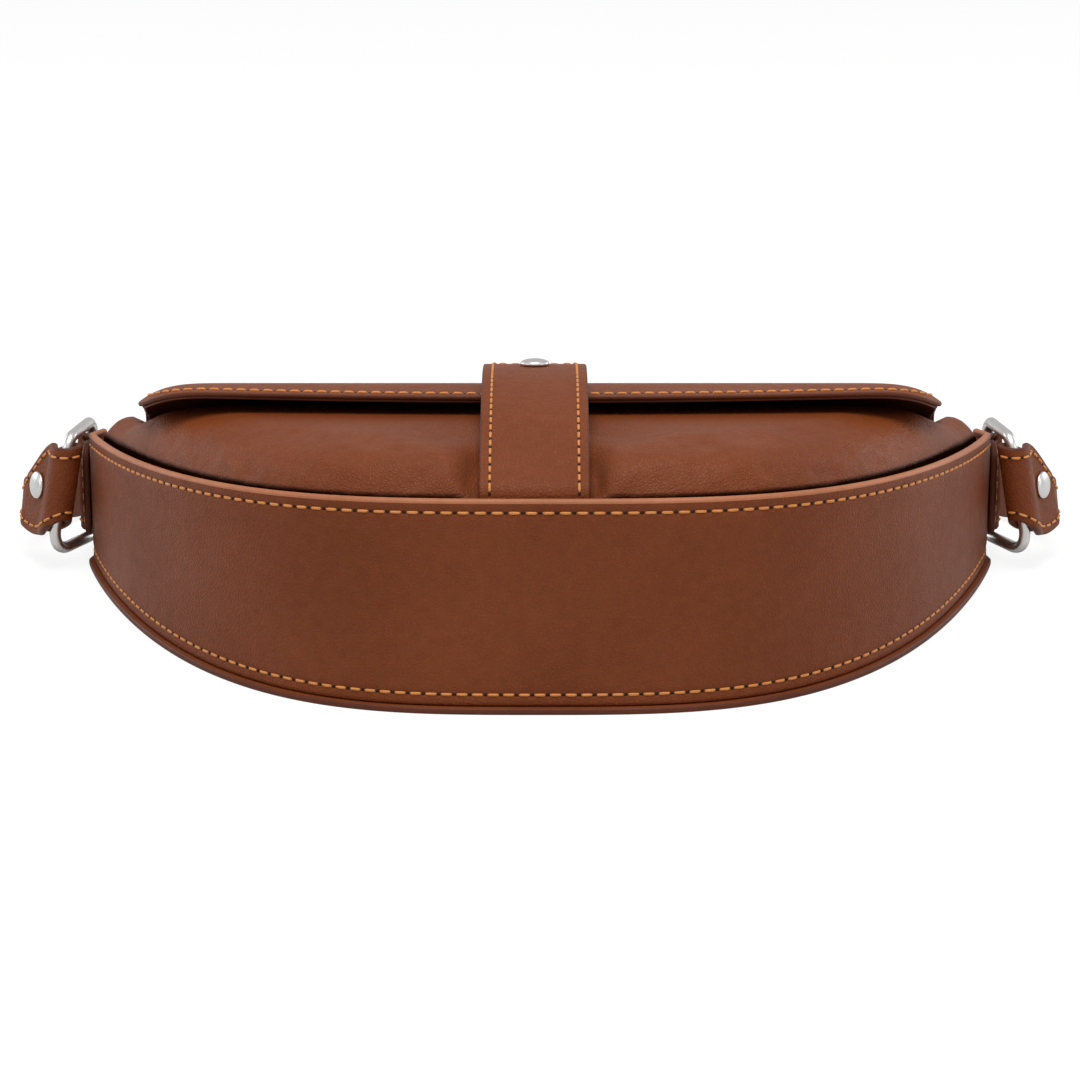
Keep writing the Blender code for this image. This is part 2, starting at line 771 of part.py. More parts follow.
def tab_piece(side, name):
    """A tab folded round the ring's inner leg, its two layers closed to a tail on the gusset."""
    axis_x, axis_y = ring_axis_out, from_bottom(ring_axis_up)
    hole_radius = wire_radius + loop_clearance
    loop_radius = hole_radius + tab_thickness
    face = outline(0)[outline_points // 2:]
    base, top = axis_y - tab_tail, from_bottom(body_height)
    rows = np.linspace(base, top, tab_rows)
    seat = [(np.interp(y, face[:, 1], face[:, 0]) + seam_gap, y) for y in rows]
    outer = [(x + tab_thickness * (1 + (y - base) / (top - base)), y) for x, y in seat]
    crown = [(axis_x + loop_radius * math.cos(a), axis_y + loop_radius * math.sin(a))
             for a in np.linspace(*tab_crown_turn, 2 * loop_points)]
    hole = [(axis_x + hole_radius * math.cos(a), axis_y + hole_radius * math.sin(a))
            for a in np.linspace(0, 2 * math.pi, 2 * loop_points, endpoint=False)]
    loops = [[(side * x, y) for x, y in loop] for loop in (outer + crown + seat[::-1], hole)]
    return prism(name, loops, level(tab_low), level(tab_low + tab_width), leather)


for side, word in ((-1, "left"), (1, "right")):
    ring_piece(side, "ring_" + word)
    tab_piece(side, "side_tab_" + word)


# Shoulder strap: each end folds round its ring's outer leg and is riveted to itself
leg_out = ring_axis_out + ring_splay
leg_up = from_bottom(ring_axis_up) - ring_reach
end_along = np.array([-math.sin(strap_end_lean), math.cos(strap_end_lean)])
end_outward = np.array([-end_along[1], end_along[0]])
fold_radius = wire_radius + loop_clearance + strap_thickness / 2
layer_offset = (strap_thickness + seam_gap) / 2
leg = np.array([-leg_out, leg_up])


def layer_spread(along):
    """Half the distance between the strap's two layers, this far past the ring's leg."""
    share = min(1.0, max(0.0, along / strap_closing_length))
    ease = (1 - math.cos(math.pi * share)) / 2
    return fold_radius + (layer_offset - fold_radius) * ease


def strap_half_line():
    """Middle line of the strap from its left tail end, round the ring's leg, to the arch's top."""
    tail = [leg + end_along * s - end_outward * layer_spread(s)
            for s in np.linspace(strap_tail_length, 0, strap_tail_points)]
    fold = [leg + fold_radius * (-end_along * math.sin(a) - end_outward * math.cos(a))
            for a in np.linspace(0, math.pi, loop_points)[1:-1]]
    outer = [leg + end_along * s + end_outward * layer_spread(s)
             for s in np.linspace(0, strap_end_straight, strap_end_points)]
    first_up, top = outer[-1][1], from_bottom(strap_arch_height)
    arch = [(-strap_arch_half_width * out, first_up + (top - first_up) * up)
            for out, up in zip(strap_arch_out_shares, strap_arch_up_shares)]
    knots = np.array([outer[-2], outer[-1]] + arch + [(0, top)])
    mirrored = np.array([[-knots[-2][0], knots[-2][1]]])
    knots = np.vstack([knots, mirrored])
    curve = []
    for i in range(1, len(knots) - 2):
        a, b, c, d = knots[i - 1:i + 3]
        for t in np.linspace(0, 1, strap_span_points)[1:]:
            curve.append(0.5 * (2 * b + (c - a) * t + (2 * a - 5 * b + 4 * c - d) * t ** 2
                                + (3 * b - a - 3 * c + d) * t ** 3))
    return np.array(tail + fold + outer), np.array(curve)


end_line, arch_line = strap_half_line()
half_line = np.vstack([end_line, arch_line])
mirror_line = half_line[:-1][::-1] * [-1, 1]
strap_line = np.vstack([half_line, mirror_line])


def ribbon(line, near, far):
    """Closed outline between two offsets to the left of a line."""
    along = np.gradient(line, axis=0)
    along /= np.linalg.norm(along, axis=1)[:, None]
    left = np.column_stack([-along[:, 1], along[:, 0]])
    return np.vstack([line + left * near, (line + left * far)[::-1]])


def past_leg(y, start, length):
    """A smooth share, from zero at a start past the ring's leg to one a length further."""
    share = min(1.0, max(0.0, (y - leg_up - start) / length))
    return (3 - 2 * share) * share ** 2


def strap_middle_height(y):
    """Height of the strap's middle line: level with the ring, down to its neck, then to the floor."""
    low = strap_floor_gap + strap_width / 2
    neck = (strap_neck_height - ring_middle) * past_leg(y, strap_taper_start, strap_taper_length)
    return ring_middle + neck + (low - strap_neck_height) * past_leg(y, strap_droop_start, strap_droop_length)


def strap_half_width(y):
    """Half the strap's width: it fills the ring, and tapers to its even run."""
    narrowing = (strap_end_width - strap_width) * past_leg(y, strap_taper_start, strap_taper_length)
    return (strap_end_width - narrowing) / 2


def strap_low(x, y):
    """Z of the strap's lower edge, cut away slantwise round its fold to clear the ring's corner."""
    behind = (-abs(x) - leg[0]) * end_along[0] + (y - leg[1]) * end_along[1]
    notch = min(1.0, max(0.0, 1 - (behind + fold_outside) / strap_notch_length))
    return strap_middle_height(y) - strap_half_width(y) + strap_notch_height * notch ** 2


def strap_high(x, y):
    """Z of the strap's upper edge."""
    return strap_middle_height(y) + strap_half_width(y)


def settle(mesh):
    """Lean a standing strap: both ends along the rings' outer legs, the arch outwards at its top."""
    for vert in mesh.vertices:
        x, y, z = vert.co
        share = past_leg(y, strap_lean_start, strap_lean_length)
        lean = ring_lean_share * (1 - share) * (ring_middle - z)
        drawn = strap_arch_lean_share * share * (strap_high(x, y) - z)
        size = math.hypot(x, y - leg_up)
        vert.co.x += lean * math.copysign(1, x) - drawn * x / size
        vert.co.y -= drawn * (y - leg_up) / size


half_strap = strap_thickness / 2
fold_outside = fold_radius + half_strap
strap = prism("shoulder_strap", [ribbon(strap_line, half_strap, -half_strap)], strap_low, strap_high,
              leather)
settle(strap.data)
first = int(len(arch_line) * strap_lining_start_share)
lining_half = arch_line[first:]
lining_line = np.vstack([lining_half, lining_half[:-1][::-1] * [-1, 1]])
under = prism("shoulder_strap_lining",
              [ribbon(lining_line, -half_strap - seam_gap, -half_strap - seam_gap - strap_lining_thickness)],
              strap_low, strap_high, leather_dark)
settle(under.data)


def rivet_piece(side, name):
    """A rivet through both layers of a strap end, its cap on the outer face."""
    place = leg + end_along * rivet_along
    low, high = strap_low(*place), strap_high(*place)
    height = low + (high - low) * rivet_height_share
    out = place[0] - ring_lean_share * (ring_middle - height)
    outward = Vector((end_outward[0] * -side, end_outward[1], -ring_lean_share * end_outward[0]))
    cap_face = (layer_spread(rivet_along) + half_strap + seam_gap) / outward.length
    outward.normalize()
    centre = Vector((out * -side, place[1], height)) + outward * cap_face
    grip = 2 * cap_face
    matrix = facing(centre, outward)
    turned(name, dome_profile(rivet_cap_diameter, rivet_cap_height, rivet_post_diameter, grip,
                              rivet_washer_diameter, rivet_washer_height), matrix, steel)
    hole = cutter_object(name + "_hole", cylinder_mesh(
        name + "_hole", rivet_post_diameter + 2 * rivet_clearance, grip + 2 * overrun))
    hole.matrix_world = matrix @ Matrix.Translation((0, 0, -grip - overrun))
    cut(strap, hole)


rivet_piece(-1, "strap_rivet_left")
rivet_piece(1, "strap_rivet_right")

print("flap fold", tuple(round(value / mm, 2) for value in flap_fold))
print("closure fold", tuple(round(value / mm, 2) for value in closure_fold))
print("ring axis", round(ring_axis_out / mm, 2), round(from_bottom(ring_axis_up) / mm, 2))
print("closure bend", round(closure_bend / mm, 2), "first slope", round(closure_first_slope, 4))
print("strap leg", round(leg_out / mm, 2), round(leg_up / mm, 2))
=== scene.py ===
import math

import bpy
import numpy as np
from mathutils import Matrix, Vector


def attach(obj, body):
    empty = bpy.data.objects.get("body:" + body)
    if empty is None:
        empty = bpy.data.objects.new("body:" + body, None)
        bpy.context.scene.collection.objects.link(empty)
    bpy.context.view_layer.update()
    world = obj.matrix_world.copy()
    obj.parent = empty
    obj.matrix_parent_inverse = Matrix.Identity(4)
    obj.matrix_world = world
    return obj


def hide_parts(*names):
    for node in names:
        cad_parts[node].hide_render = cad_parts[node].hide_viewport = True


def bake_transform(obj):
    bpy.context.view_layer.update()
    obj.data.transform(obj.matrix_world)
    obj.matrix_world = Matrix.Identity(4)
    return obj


# The bag lies on its flat back. X runs along its width, +Y from its curved bottom to its mouth
# and strap, and +Z out through its padded front, in metres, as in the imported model. Each section
# makes one piece or one group of like pieces, in the order in which the bag is put together.
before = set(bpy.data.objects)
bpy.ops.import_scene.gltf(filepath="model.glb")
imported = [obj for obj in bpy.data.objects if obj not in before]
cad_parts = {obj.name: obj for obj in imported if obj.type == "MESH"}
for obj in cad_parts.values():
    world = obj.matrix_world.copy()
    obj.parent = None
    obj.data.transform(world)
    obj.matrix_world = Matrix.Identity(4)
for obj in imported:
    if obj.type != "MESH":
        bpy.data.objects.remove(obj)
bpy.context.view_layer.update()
mm = 0.001

# Camera
# A long lens stands 17 degrees above the floor and looks along +Y at the middle of the bag's
# bottom edge, from one metre away, so that the front is seen foreshortened above the gusset.
camera_lens = 116
camera_rise = math.radians(17)
camera_distance = 1.0
camera_aim = np.array([0, -78, 53]) * mm
camera = bpy.data.objects.new("camera", bpy.data.cameras.new("camera"))
bpy.context.scene.collection.objects.link(camera)
camera.data.lens = camera_lens
camera.data.sensor_width = 36
camera.data.clip_start = 0.05
camera.rotation_euler = (math.pi / 2 - camera_rise, 0, 0)
camera.location = camera_aim + camera_distance * np.array(
    [0, -math.cos(camera_rise), math.sin(camera_rise)])
bpy.context.scene.camera = camera

# Gusset
# One long strip of thick tan leather stands on the back panel and runs from horn to horn round
# the curved edge. It is sewn to the back along its low edge and to the front along its high one,
# whose cut edge is left standing a little proud, its rounded top given a painted highlight.
body_half_width = 148 * mm
widest_height = 146 * mm
body_height = 156 * mm
outline_width_share = 0.625
outline_height_share = 1.8
bottom_depth = 65 * mm
front_slope_share = 0.135
gusset_low = 2.3 * mm
gusset_thickness = 2.4 * mm
low_row_up = 3.4 * mm
high_row_down = 4.0 * mm
groove_depth = 0.35 * mm
groove_half_width = 1.0 * mm
rim_round = 1.0 * mm
foot_round = 0.3 * mm
flesh_step = 3 * mm
low_row_pitch = 4.55 * mm
high_row_pitch = 4.9 * mm
gusset_row_sink = 0.1 * mm
gusset_stations = 281
rim_steps = 9
outline_samples = 6001
mouth = body_height / 2


def unit(vectors):
    """Vectors divided by their lengths, along the last axis."""
    return vectors / np.maximum(np.linalg.norm(vectors, axis=-1), 1e-12)[..., None]


def directions(line):
    """Unit directions along a line: the gradient of its points."""
    return unit(np.gradient(line, axis=0))


def left_normals(line):
    """Unit normals to the left of a flat line: its directions, turned by a quarter."""
    along = directions(line)
    return np.column_stack([-along[:, 1], along[:, 0]])


def run_along(line):
    """Distance along a line from its start to each point: the running sum of its steps."""
    return np.concatenate([[0], np.cumsum(np.linalg.norm(np.diff(line, axis=0), axis=1))])


def columns_at(places, run, line):
    """Each column of a line at places along it, interpolated over its run."""
    return [np.interp(places, run, column) for column in line.T]


def at(places, run, line):
    """Points of a line at places along it."""
    return np.stack(columns_at(places, run, line), axis=-1)


def crescent(inset, count):
    """Edge of the crescent, moved inwards by inset, from the left horn to the right one.

    Sine and cosine of an angle, raised to two powers, give the half outline. It is resampled at
    equal steps of its length, moved along its normal, and its ends are put on the mouth's line.
    """
    top = ((body_height - widest_height) / widest_height) ** (1 / outline_height_share)
    angle = np.linspace(-math.acos(-top), math.acos(-top), outline_samples)
    x = body_half_width * np.sign(angle) * np.abs(np.sin(angle)) ** outline_width_share
    fall = np.sign(np.cos(angle)) * np.abs(np.cos(angle)) ** outline_height_share
    outline = np.column_stack([x, widest_height * (1 - fall) - mouth])
    run = run_along(outline)
    line = at(np.linspace(0, run[-1], count), run, outline)
    line += inset * left_normals(line)
    line[[0, -1], 1] = mouth
    return line


def rim_height(y):
    """Height of the gusset's high edge: highest at the bag's bottom and falling to its mouth."""
    return bottom_depth - front_slope_share * (y + mouth)


def mesh_piece(name, points, faces, finishes, slots=None):
    """Put points and faces in a smooth mesh object, with a material number for each face."""
    mesh = bpy.data.meshes.new(name)
    mesh.from_pydata(np.asarray(points).reshape(-1, 3).tolist(), [], faces)
    for finish in finishes:
        mesh.materials.append(finish)
    if slots is not None:
        mesh.polygons.foreach_set("material_index", np.asarray(slots, dtype=np.int32))
    mesh.shade_smooth()
    mesh.update()
    made = bpy.data.objects.new(name, mesh)
    bpy.context.scene.collection.objects.link(made)
    return made


def quads(index):
    """Quads between neighbours in grids of point numbers, over the last two axes."""
    corners = [index[..., :-1, :-1], index[..., 1:, :-1], index[..., 1:, 1:], index[..., :-1, 1:]]
    return np.stack(corners, axis=-1).reshape(-1, 4)


def loft(name, points, finishes, closed=False, row_slots=None):
    """Skin a run of closed sections, an array of stations by places round the section.

    Quads join each station to the next. The first and last sections are filled, unless closed
    joins them to each other. row_slots gives the material number of each strip round the section.
    """
    stations, around = points.shape[:2]
    index = np.arange(stations * around).reshape(stations, around)
    index = np.column_stack([index, index[:, 0]])
    if closed:
        index = np.vstack([index, index[:1]])
    strips = np.zeros(around, dtype=int) if row_slots is None else row_slots
    slots = np.tile(strips, len(index) - 1).tolist()
    faces = quads(index).tolist()
    if not closed:
        faces += [index[0, :-1].tolist(), index[-1, -2::-1].tolist()]
        slots += [0, 0]
    return mesh_piece(name, points, faces, finishes, slots)


def fill(made, values):
    """Give inputs of a node their values: a socket is linked, and anything else is set."""
    for key, value in values.items():
        if isinstance(value, bpy.types.NodeSocket):
            made.id_data.links.new(value, made.inputs[key])
        else:
            made.inputs[key].default_value = value


def node(tree, kind, values=None, **settings):
    """Add a shader node with its settings and the values of its inputs."""
    made = tree.nodes.new("ShaderNode" + kind)
    for key, value in settings.items():
        setattr(made, key, value)
    fill(made, values or {})
    return made


def maths(tree, operation, *values):
    """One step of arithmetic on sockets and numbers."""
    return node(tree, "Math", dict(enumerate(values)), operation=operation).outputs[0]


def ramp(tree, value, before, after, kind="LINEAR"):
    """A value mapped from one span to another, and held at its ends."""
    spans = dict(zip(("From Min", "From Max", "To Min", "To Max"), (*before, *after)))
    return node(tree, "MapRange", {"Value": value, **spans}, interpolation_type=kind).outputs[0]


def noise(tree, place, scale, detail, rough=0.5):
    """The mask of a noise at a place."""
    values = {"Vector": place, "Scale": scale, "Detail": detail, "Roughness": rough}
    return node(tree, "TexNoise", values).outputs["Fac"]


def colour_between(tree, share, first, last):
    """A colour between two, by a share."""
    return node(tree, "Mix", {0: share, 6: first, 7: last}, data_type="RGBA").outputs[2]


def new_group(name, inputs, outputs):
    """Start a shader node group: inputs with their usual values, and outputs by name."""
    group = bpy.data.node_groups.new(name, "ShaderNodeTree")
    for label, value in inputs.items():
        kind = "NodeSocketFloat" if isinstance(value, float) else "NodeSocketColor"
        group.interface.new_socket(label, in_out="INPUT", socket_type=kind).default_value = value
    for label in outputs:
        kind = "NodeSocketColor" if label == "Color" else "NodeSocketFloat"
        group.interface.new_socket(label, in_out="OUTPUT", socket_type=kind)
    return group, group.nodes.new("NodeGroupInput").outputs, group.nodes.new("NodeGroupOutput")


def new_finish(name):
    """Start a material, and return its node tree and its shader too."""
    finish = bpy.data.materials.new(name)
    finish.use_nodes = True
    return finish, finish.node_tree, finish.node_tree.nodes["Principled BSDF"]


def patterned(name, group, values, bump, plain):
    """A finish from a group that drives its colour, its bump and, if it has one, its roughness.

    bump is the bump's strength and depth, and plain holds the shader's own values.
    """
    finish, tree, shader = new_finish(name)
    pattern = node(tree, "Group", values, node_tree=group).outputs
    relief = node(tree, "Bump", {"Height": pattern["Height"], "Strength": bump[0], "Distance": bump[1]})
    fill(shader, {"Base Color": pattern["Color"], "Normal": relief.outputs["Normal"], **plain})
    if "Roughness" in pattern:
        fill(shader, {"Roughness": pattern["Roughness"]})
    return finish


def leather_group():
    """Grain leather: close pebbles with creases between them, soft clouds of tone and fine pores.

    The height is the pebbles' distance to their edges, with a noise of pores added. The colour
    goes from the main tone to a deeper one in the clouds and the creases, and the roughness grows
    in the clouds.
    """
    group, given, out = new_group(
        "grain_leather", {"Tone": (0.5, 0.2, 0.1, 1), "Deep Tone": (0.3, 0.1, 0.05, 1),
                          "Pebbles": 900.0, "Gloss": 0.45}, ("Color", "Roughness", "Height"))
    place = node(group, "TexCoord").outputs["Object"]
    bend = node(group, "TexNoise", {"Vector": place, "Scale": 500, "Detail": 1})
    warp = node(group, "VectorMath", {0: bend.outputs["Color"], 1: (0.6 * mm,) * 3, 2: place},
                operation="MULTIPLY_ADD")
    pebbles = node(group, "TexVoronoi", {"Vector": warp.outputs[0], "Scale": given["Pebbles"]},
                   feature="DISTANCE_TO_EDGE")
    plateau = ramp(group, pebbles.outputs["Distance"], (0, 0.28), (0, 1), "SMOOTHSTEP")
    clouds = ramp(group, noise(group, place, 22, 3), (0.3, 0.7), (0, 0.55))
    flecks = ramp(group, noise(group, place, 260, 4, 0.6), (0.35, 0.7), (0, 0.35))
    total = maths(group, "ADD", clouds, flecks)
    crease = maths(group, "MULTIPLY_ADD", plateau, -0.22, 0.22)
    deep = node(group, "Math", {0: total, 1: crease}, operation="ADD", use_clamp=True).outputs[0]
    fill(out, {"Color": colour_between(group, deep, given["Tone"], given["Deep Tone"]),
               "Roughness": maths(group, "MULTIPLY_ADD", total, 0.16, given["Gloss"]),
               "Height": maths(group, "MULTIPLY_ADD", noise(group, place, 2600, 2, 0.6), 0.35, plateau)})
    return group


grain_leather = leather_group()
leather_shine = 0.2


def leather(name, tone, deep, pebbles, gloss, bump_strength):
    """A leather finish from the grain group."""
    values = {"Tone": (*tone, 1), "Deep Tone": (*deep, 1), "Pebbles": pebbles, "Gloss": gloss}
    return patterned(name, grain_leather, values, (bump_strength, 0.12 * mm),
                     {"Specular IOR Level": leather_shine})


tan_leather = leather("tan_leather", (0.207, 0.0480, 0.0105), (0.150, 0.0320, 0.0062), 900, 0.43, 0.9)
# The rim's lighter, paler tone is a painted highlight along the gusset's rounded top edge.
rim_highlight_leather = leather("rim_painted_highlight", (0.47, 0.180, 0.090), (0.36, 0.128, 0.058), 1600, 0.36, 0.25)
edge_leather = leather("painted_edge", (0.125, 0.032, 0.012), (0.085, 0.021, 0.008), 1600, 0.4, 0.2)
# Near black for the needle holes: painted shade in them.
painted_hole_shade = leather("painted_hole_shade", (0.035, 0.012, 0.006), (0.02, 0.007, 0.004), 1500, 0.6, 0.1)


def thread_group():
    """Twisted thread: slanted bands along a stitch's own UV map, from light to shade."""
    group, given, out = new_group(
        "twisted_thread", {"Tone": (0.7, 0.3, 0.06, 1), "Shade": (0.4, 0.13, 0.02, 1)}, ("Color", "Height"))
    chart = node(group, "TexCoord").outputs["UV"]
    twist = node(group, "TexWave", {"Vector": chart, "Scale": 1.1, "Distortion": 0.6, "Detail": 1},
                 bands_direction="DIAGONAL").outputs["Fac"]
    fill(out, {"Color": colour_between(group, twist, given["Shade"], given["Tone"]), "Height": twist})
    return group


gold_thread = patterned("gold_thread", thread_group(),
                        {"Tone": (0.78, 0.315, 0.075, 1), "Shade": (0.50, 0.165, 0.032, 1)},
                        (0.5, 0.1 * mm), {"Roughness": 0.5})

stitch_rings = 7
stitch_sides = 6
stitch_narrowing = 0.88
stitch_rise_share = 0.12
stitch_dip = 2.4
hole_sides = 6
hole_radius_share = 0.58
hole_length_share = 1.2
hole_depth_share = 0.4
hole_rim_rise = 0.02 * mm
hole_middle_rise = 0.09 * mm


def circle(count):
    """Angles of even places round a circle."""
    return np.arange(count) / count * 2 * math.pi


def stitches(name, path, facing, pitch, length=3.6 * mm, width=0.95 * mm, lift=0.0):
    """A row of stitches along a path, with a needle hole between neighbours and at both ends.

    Each stitch is a bead: circles, narrower towards its ends, along an arch that dips into the
    leather at both ends. Its frame is the path's direction and the facing given at that place.
    Each hole is a flat double cone, mostly sunk, whose rim is an oval along the path; its near black colour
    is painted shade.
    """
    path, facing = np.asarray(path, float), np.asarray(facing, float)
    run = run_along(path)
    count = int(run[-1] // pitch)
    start = (run[-1] - count * pitch) / 2

    def frames(places):
        """Point, direction, facing square to it and sideways direction at places of the path."""
        ahead = unit(at(places + pitch / 6, run, path) - at(places - pitch / 6, run, path))
        out = at(places, run, facing)
        out = unit(out - ahead * np.sum(out * ahead, axis=1)[:, None])
        return at(places, run, path), ahead, out, np.cross(ahead, out)

    share = np.linspace(-1, 1, stitch_rings)[None, :, None, None]
    turn = circle(stitch_sides)[None, None, :, None]
    middles = start + (np.arange(count) + 0.5) * pitch
    here, ahead, out, across = [item[:, None, None, :] for item in frames(middles)]
    thick = width / 2 * np.sqrt(1 - stitch_narrowing * share ** 6)
    rise = lift + stitch_rise_share * width * (1 - stitch_dip * share ** 4)
    beads = here + ahead * share * length / 2 + out * (rise + thick * np.cos(turn))
    beads = beads + across * thick * np.sin(turn)
    index = np.arange(count * stitch_rings * stitch_sides).reshape(count, stitch_rings, stitch_sides)
    wrap = np.concatenate([index, index[:, :, :1]], axis=2)
    faces = quads(wrap.swapaxes(1, 2)).tolist() + index[:, 0, ::-1].tolist() + index[:, -1].tolist()

    spots, ahead, out, across = [item[:, None, :] for item in frames(
        start + np.arange(count + 1) * pitch)]
    around = circle(hole_sides)[None, :, None]
    oval = ahead * np.cos(around) * hole_length_share + across * np.sin(around)
    rim = spots + hole_radius_share * width * oval + out * hole_rim_rise
    holes = np.concatenate([rim, spots + out * hole_middle_rise, spots - out * hole_depth_share * width],
                           axis=1)
    first = index.size + np.arange(count + 1)[:, None] * (hole_sides + 2)
    sides = first + np.arange(hole_sides)
    after = np.roll(sides, -1, axis=1)
    tip = first + np.full(hole_sides, hole_sides)
    cones = np.vstack([np.stack([sides, after, tip], axis=-1).reshape(-1, 3),
                       np.stack([after, sides, tip + 1], axis=-1).reshape(-1, 3)]).tolist()
    # The holes' near black finish is painted shade.
    slots = [0] * len(faces) + [1] * len(cones)
    points = np.concatenate([beads.reshape(-1, 3), holes.reshape(-1, 3)])
    piece = mesh_piece(name, points, faces + cones, [gold_thread, painted_hole_shade], slots)

    chart = np.zeros((len(points), 2))
    for axis, value in enumerate((share * length / 2 / width, turn / (2 * math.pi))):
        chart[:index.size, axis] = np.broadcast_to(value, index.shape + (1,)).reshape(-1)
    corners = np.zeros(len(piece.data.loops), dtype=np.int32)
    piece.data.loops.foreach_get("vertex_index", corners)
    chart_layer = piece.data.uv_layers.new(name="stitch")
    chart_layer.data.foreach_set("uv", chart[corners].reshape(-1).astype(np.float32))
    return piece


def outward_normals(line):
    """Unit normals of the crescent's edge line, pointing out of the bag."""
    return np.column_stack([-left_normals(line), np.zeros(len(line))])


def gusset_section():
    """One section of the strip: inset, height above the low edge and share of the full height.

    Up the grain side with a shallow groove under each row of stitches, over the half round high
    edge and down the flesh side.
    """
    up_low = np.concatenate([[0, 0.4], np.linspace(1.2, 6.4, 14)]) * mm
    middle = np.linspace(0.2, 0.8, 10)
    down_high = np.linspace(-7.4, -1.2, 16) * mm
    offset = np.concatenate([up_low, 0 * middle, down_high])
    share = np.concatenate([0 * up_low, middle, 0 * down_high + 1])
    near_low = np.exp(-((offset - low_row_up) / groove_half_width) ** 2) * (share == 0)
    near_high = np.exp(-((offset + high_row_down) / groove_half_width) ** 2) * (share == 1)
    inset = groove_depth * (near_low + near_high)
    inset[0] = foot_round
    turn = np.linspace(0, math.pi, rim_steps)
    half = gusset_thickness / 2
    inset = np.concatenate([inset, half - half * np.cos(turn), np.full(2, gusset_thickness)])
    offset = np.concatenate([offset, rim_round * (np.sin(turn) - 1), [-flesh_step, 0]])
    share = np.concatenate([share, 0 * turn + 1, [1, 0]])
    return inset, offset, share, len(up_low) + len(middle) + len(down_high)


def gusset_piece():
    """The strip: its section set up at every station along the crescent's edge."""
    inset, offset, share, rim_start = gusset_section()
    points = np.stack([crescent(step, gusset_stations) for step in inset], axis=1)
    high = rim_height(points[:, :1, 1])
    z = gusset_low + offset[None, :] + share[None, :] * (high - gusset_low)
    slots = np.zeros(len(inset), dtype=int)
    # The rounded top rows take that lighter tone: a painted highlight.
    slots[rim_start - 1:rim_start + rim_steps - 1] = 1
    return loft("gusset_strip", np.dstack([points, z]), [tan_leather, rim_highlight_leather], row_slots=slots)


gusset = gusset_piece()
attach(gusset, "body")
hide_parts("gusset")

row_line = crescent(groove_depth - 0.05 * mm, 601)[6:-6]
high_row_height = rim_height(row_line[:, 1]) - high_row_down
for word, height, pitch in (("low", gusset_low + low_row_up, low_row_pitch),
                            ("high", high_row_height, high_row_pitch)):
    row = np.column_stack([row_line, np.broadcast_to(height, len(row_line))])
    gusset_row = stitches("gusset_" + word + "_stitches", row, outward_normals(row_line), pitch,
                          lift=-gusset_row_sink)
    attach(gusset_row, "body")


# Back panel
# One flat layer of thick tan leather, the face that the bag lies on. Its cut edge sticks out a
# little past the gusset all round, rounded and painted.
back_thickness = 2.0 * mm
back_lip = 1.2 * mm
back_end_in = 1.2 * mm
edge_stations = 241
sheet_rim_steps = 6


def rim_loop(index):
    """Point numbers once round the rim of a grid."""
    return np.concatenate([index[0, :-1], index[:-1, -1], index[-1, :0:-1], index[:0:-1, 0]])


def closed_ring(rows):
    """Rows of point numbers, each joined up by its first number again."""
    return np.column_stack([rows, rows[:, 0]])


def sheet(name, points, thickness, finishes, side=1, bulge_share=0.3):
    """A layer of leather or cloth: a grid of points on its outer face, thickened inwards.

    The normals are the cross product of the grid's two directions, turned round where side is
    minus one. The cut edge is a half ellipse that leaves the outer face level, bulges out by a
    share of the thickness and meets the inner face level.
    """
    rows, columns = points.shape[:2]
    normal = unit(np.cross(np.gradient(points, axis=1), np.gradient(points, axis=0)) * side)
    index = np.arange(rows * columns).reshape(rows, columns)
    loop = rim_loop(index)
    flat, flat_normal = points.reshape(-1, 3), normal.reshape(-1, 3)
    rim, rim_normal = flat[loop], flat_normal[loop]
    ahead = np.roll(rim, -1, axis=0) - np.roll(rim, 1, axis=0)
    out = unit(np.cross(ahead, rim_normal) * side)
    turn = np.linspace(0, math.pi, sheet_rim_steps + 1)[1:-1, None, None]
    bulge = out * thickness * bulge_share * np.sin(turn)
    edge = rim - rim_normal * thickness * (1 - np.cos(turn)) / 2 + bulge
    inner = flat - flat_normal * thickness
    edge_numbers = index.size + np.arange(len(edge) * len(loop)).reshape(-1, len(loop))
    first_inner = index.size + edge_numbers.size
    outer_faces = quads(index.T)
    walls = quads(closed_ring(np.vstack([loop, edge_numbers, first_inner + loop])))
    faces = np.vstack([outer_faces, outer_faces[:, ::-1] + first_inner, walls])
    if side < 0:
        faces = faces[:, ::-1]
    slots = np.repeat([0, 1], [2 * len(outer_faces), len(walls)])
    return mesh_piece(name, np.vstack([flat, edge.reshape(-1, 3), inner]), faces.tolist(), finishes, slots)


def crescent_rows(edge, shares, end_in=0.0):
    """Fill a crescent with rows: each column runs straight from the mouth's line to the edge.

    shares are the rows' places along each column, zero on the mouth and one on the edge. The
    mouth's line can end a little further in than the edge does.
    """
    steps = np.linspace(-1, 1, len(edge))
    top = np.column_stack([steps * (edge[-1, 0] - end_in), np.full(len(edge), mouth)])
    return top[None] + (edge - top)[None] * np.asarray(shares)[:, None, None]


def with_height(flat, z):
    """Give flat points a height."""
    return np.dstack([flat, np.broadcast_to(z, flat.shape[:2])])


back_edge = crescent(-back_lip, edge_stations)[1:-1]
back_flat = crescent_rows(back_edge, np.linspace(0, 1, 24), back_end_in)
back = sheet("back_leather", with_height(back_flat, 0), back_thickness, [tan_leather, edge_leather],
             bulge_share=0.25)
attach(back, "body")
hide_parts("back_panel")


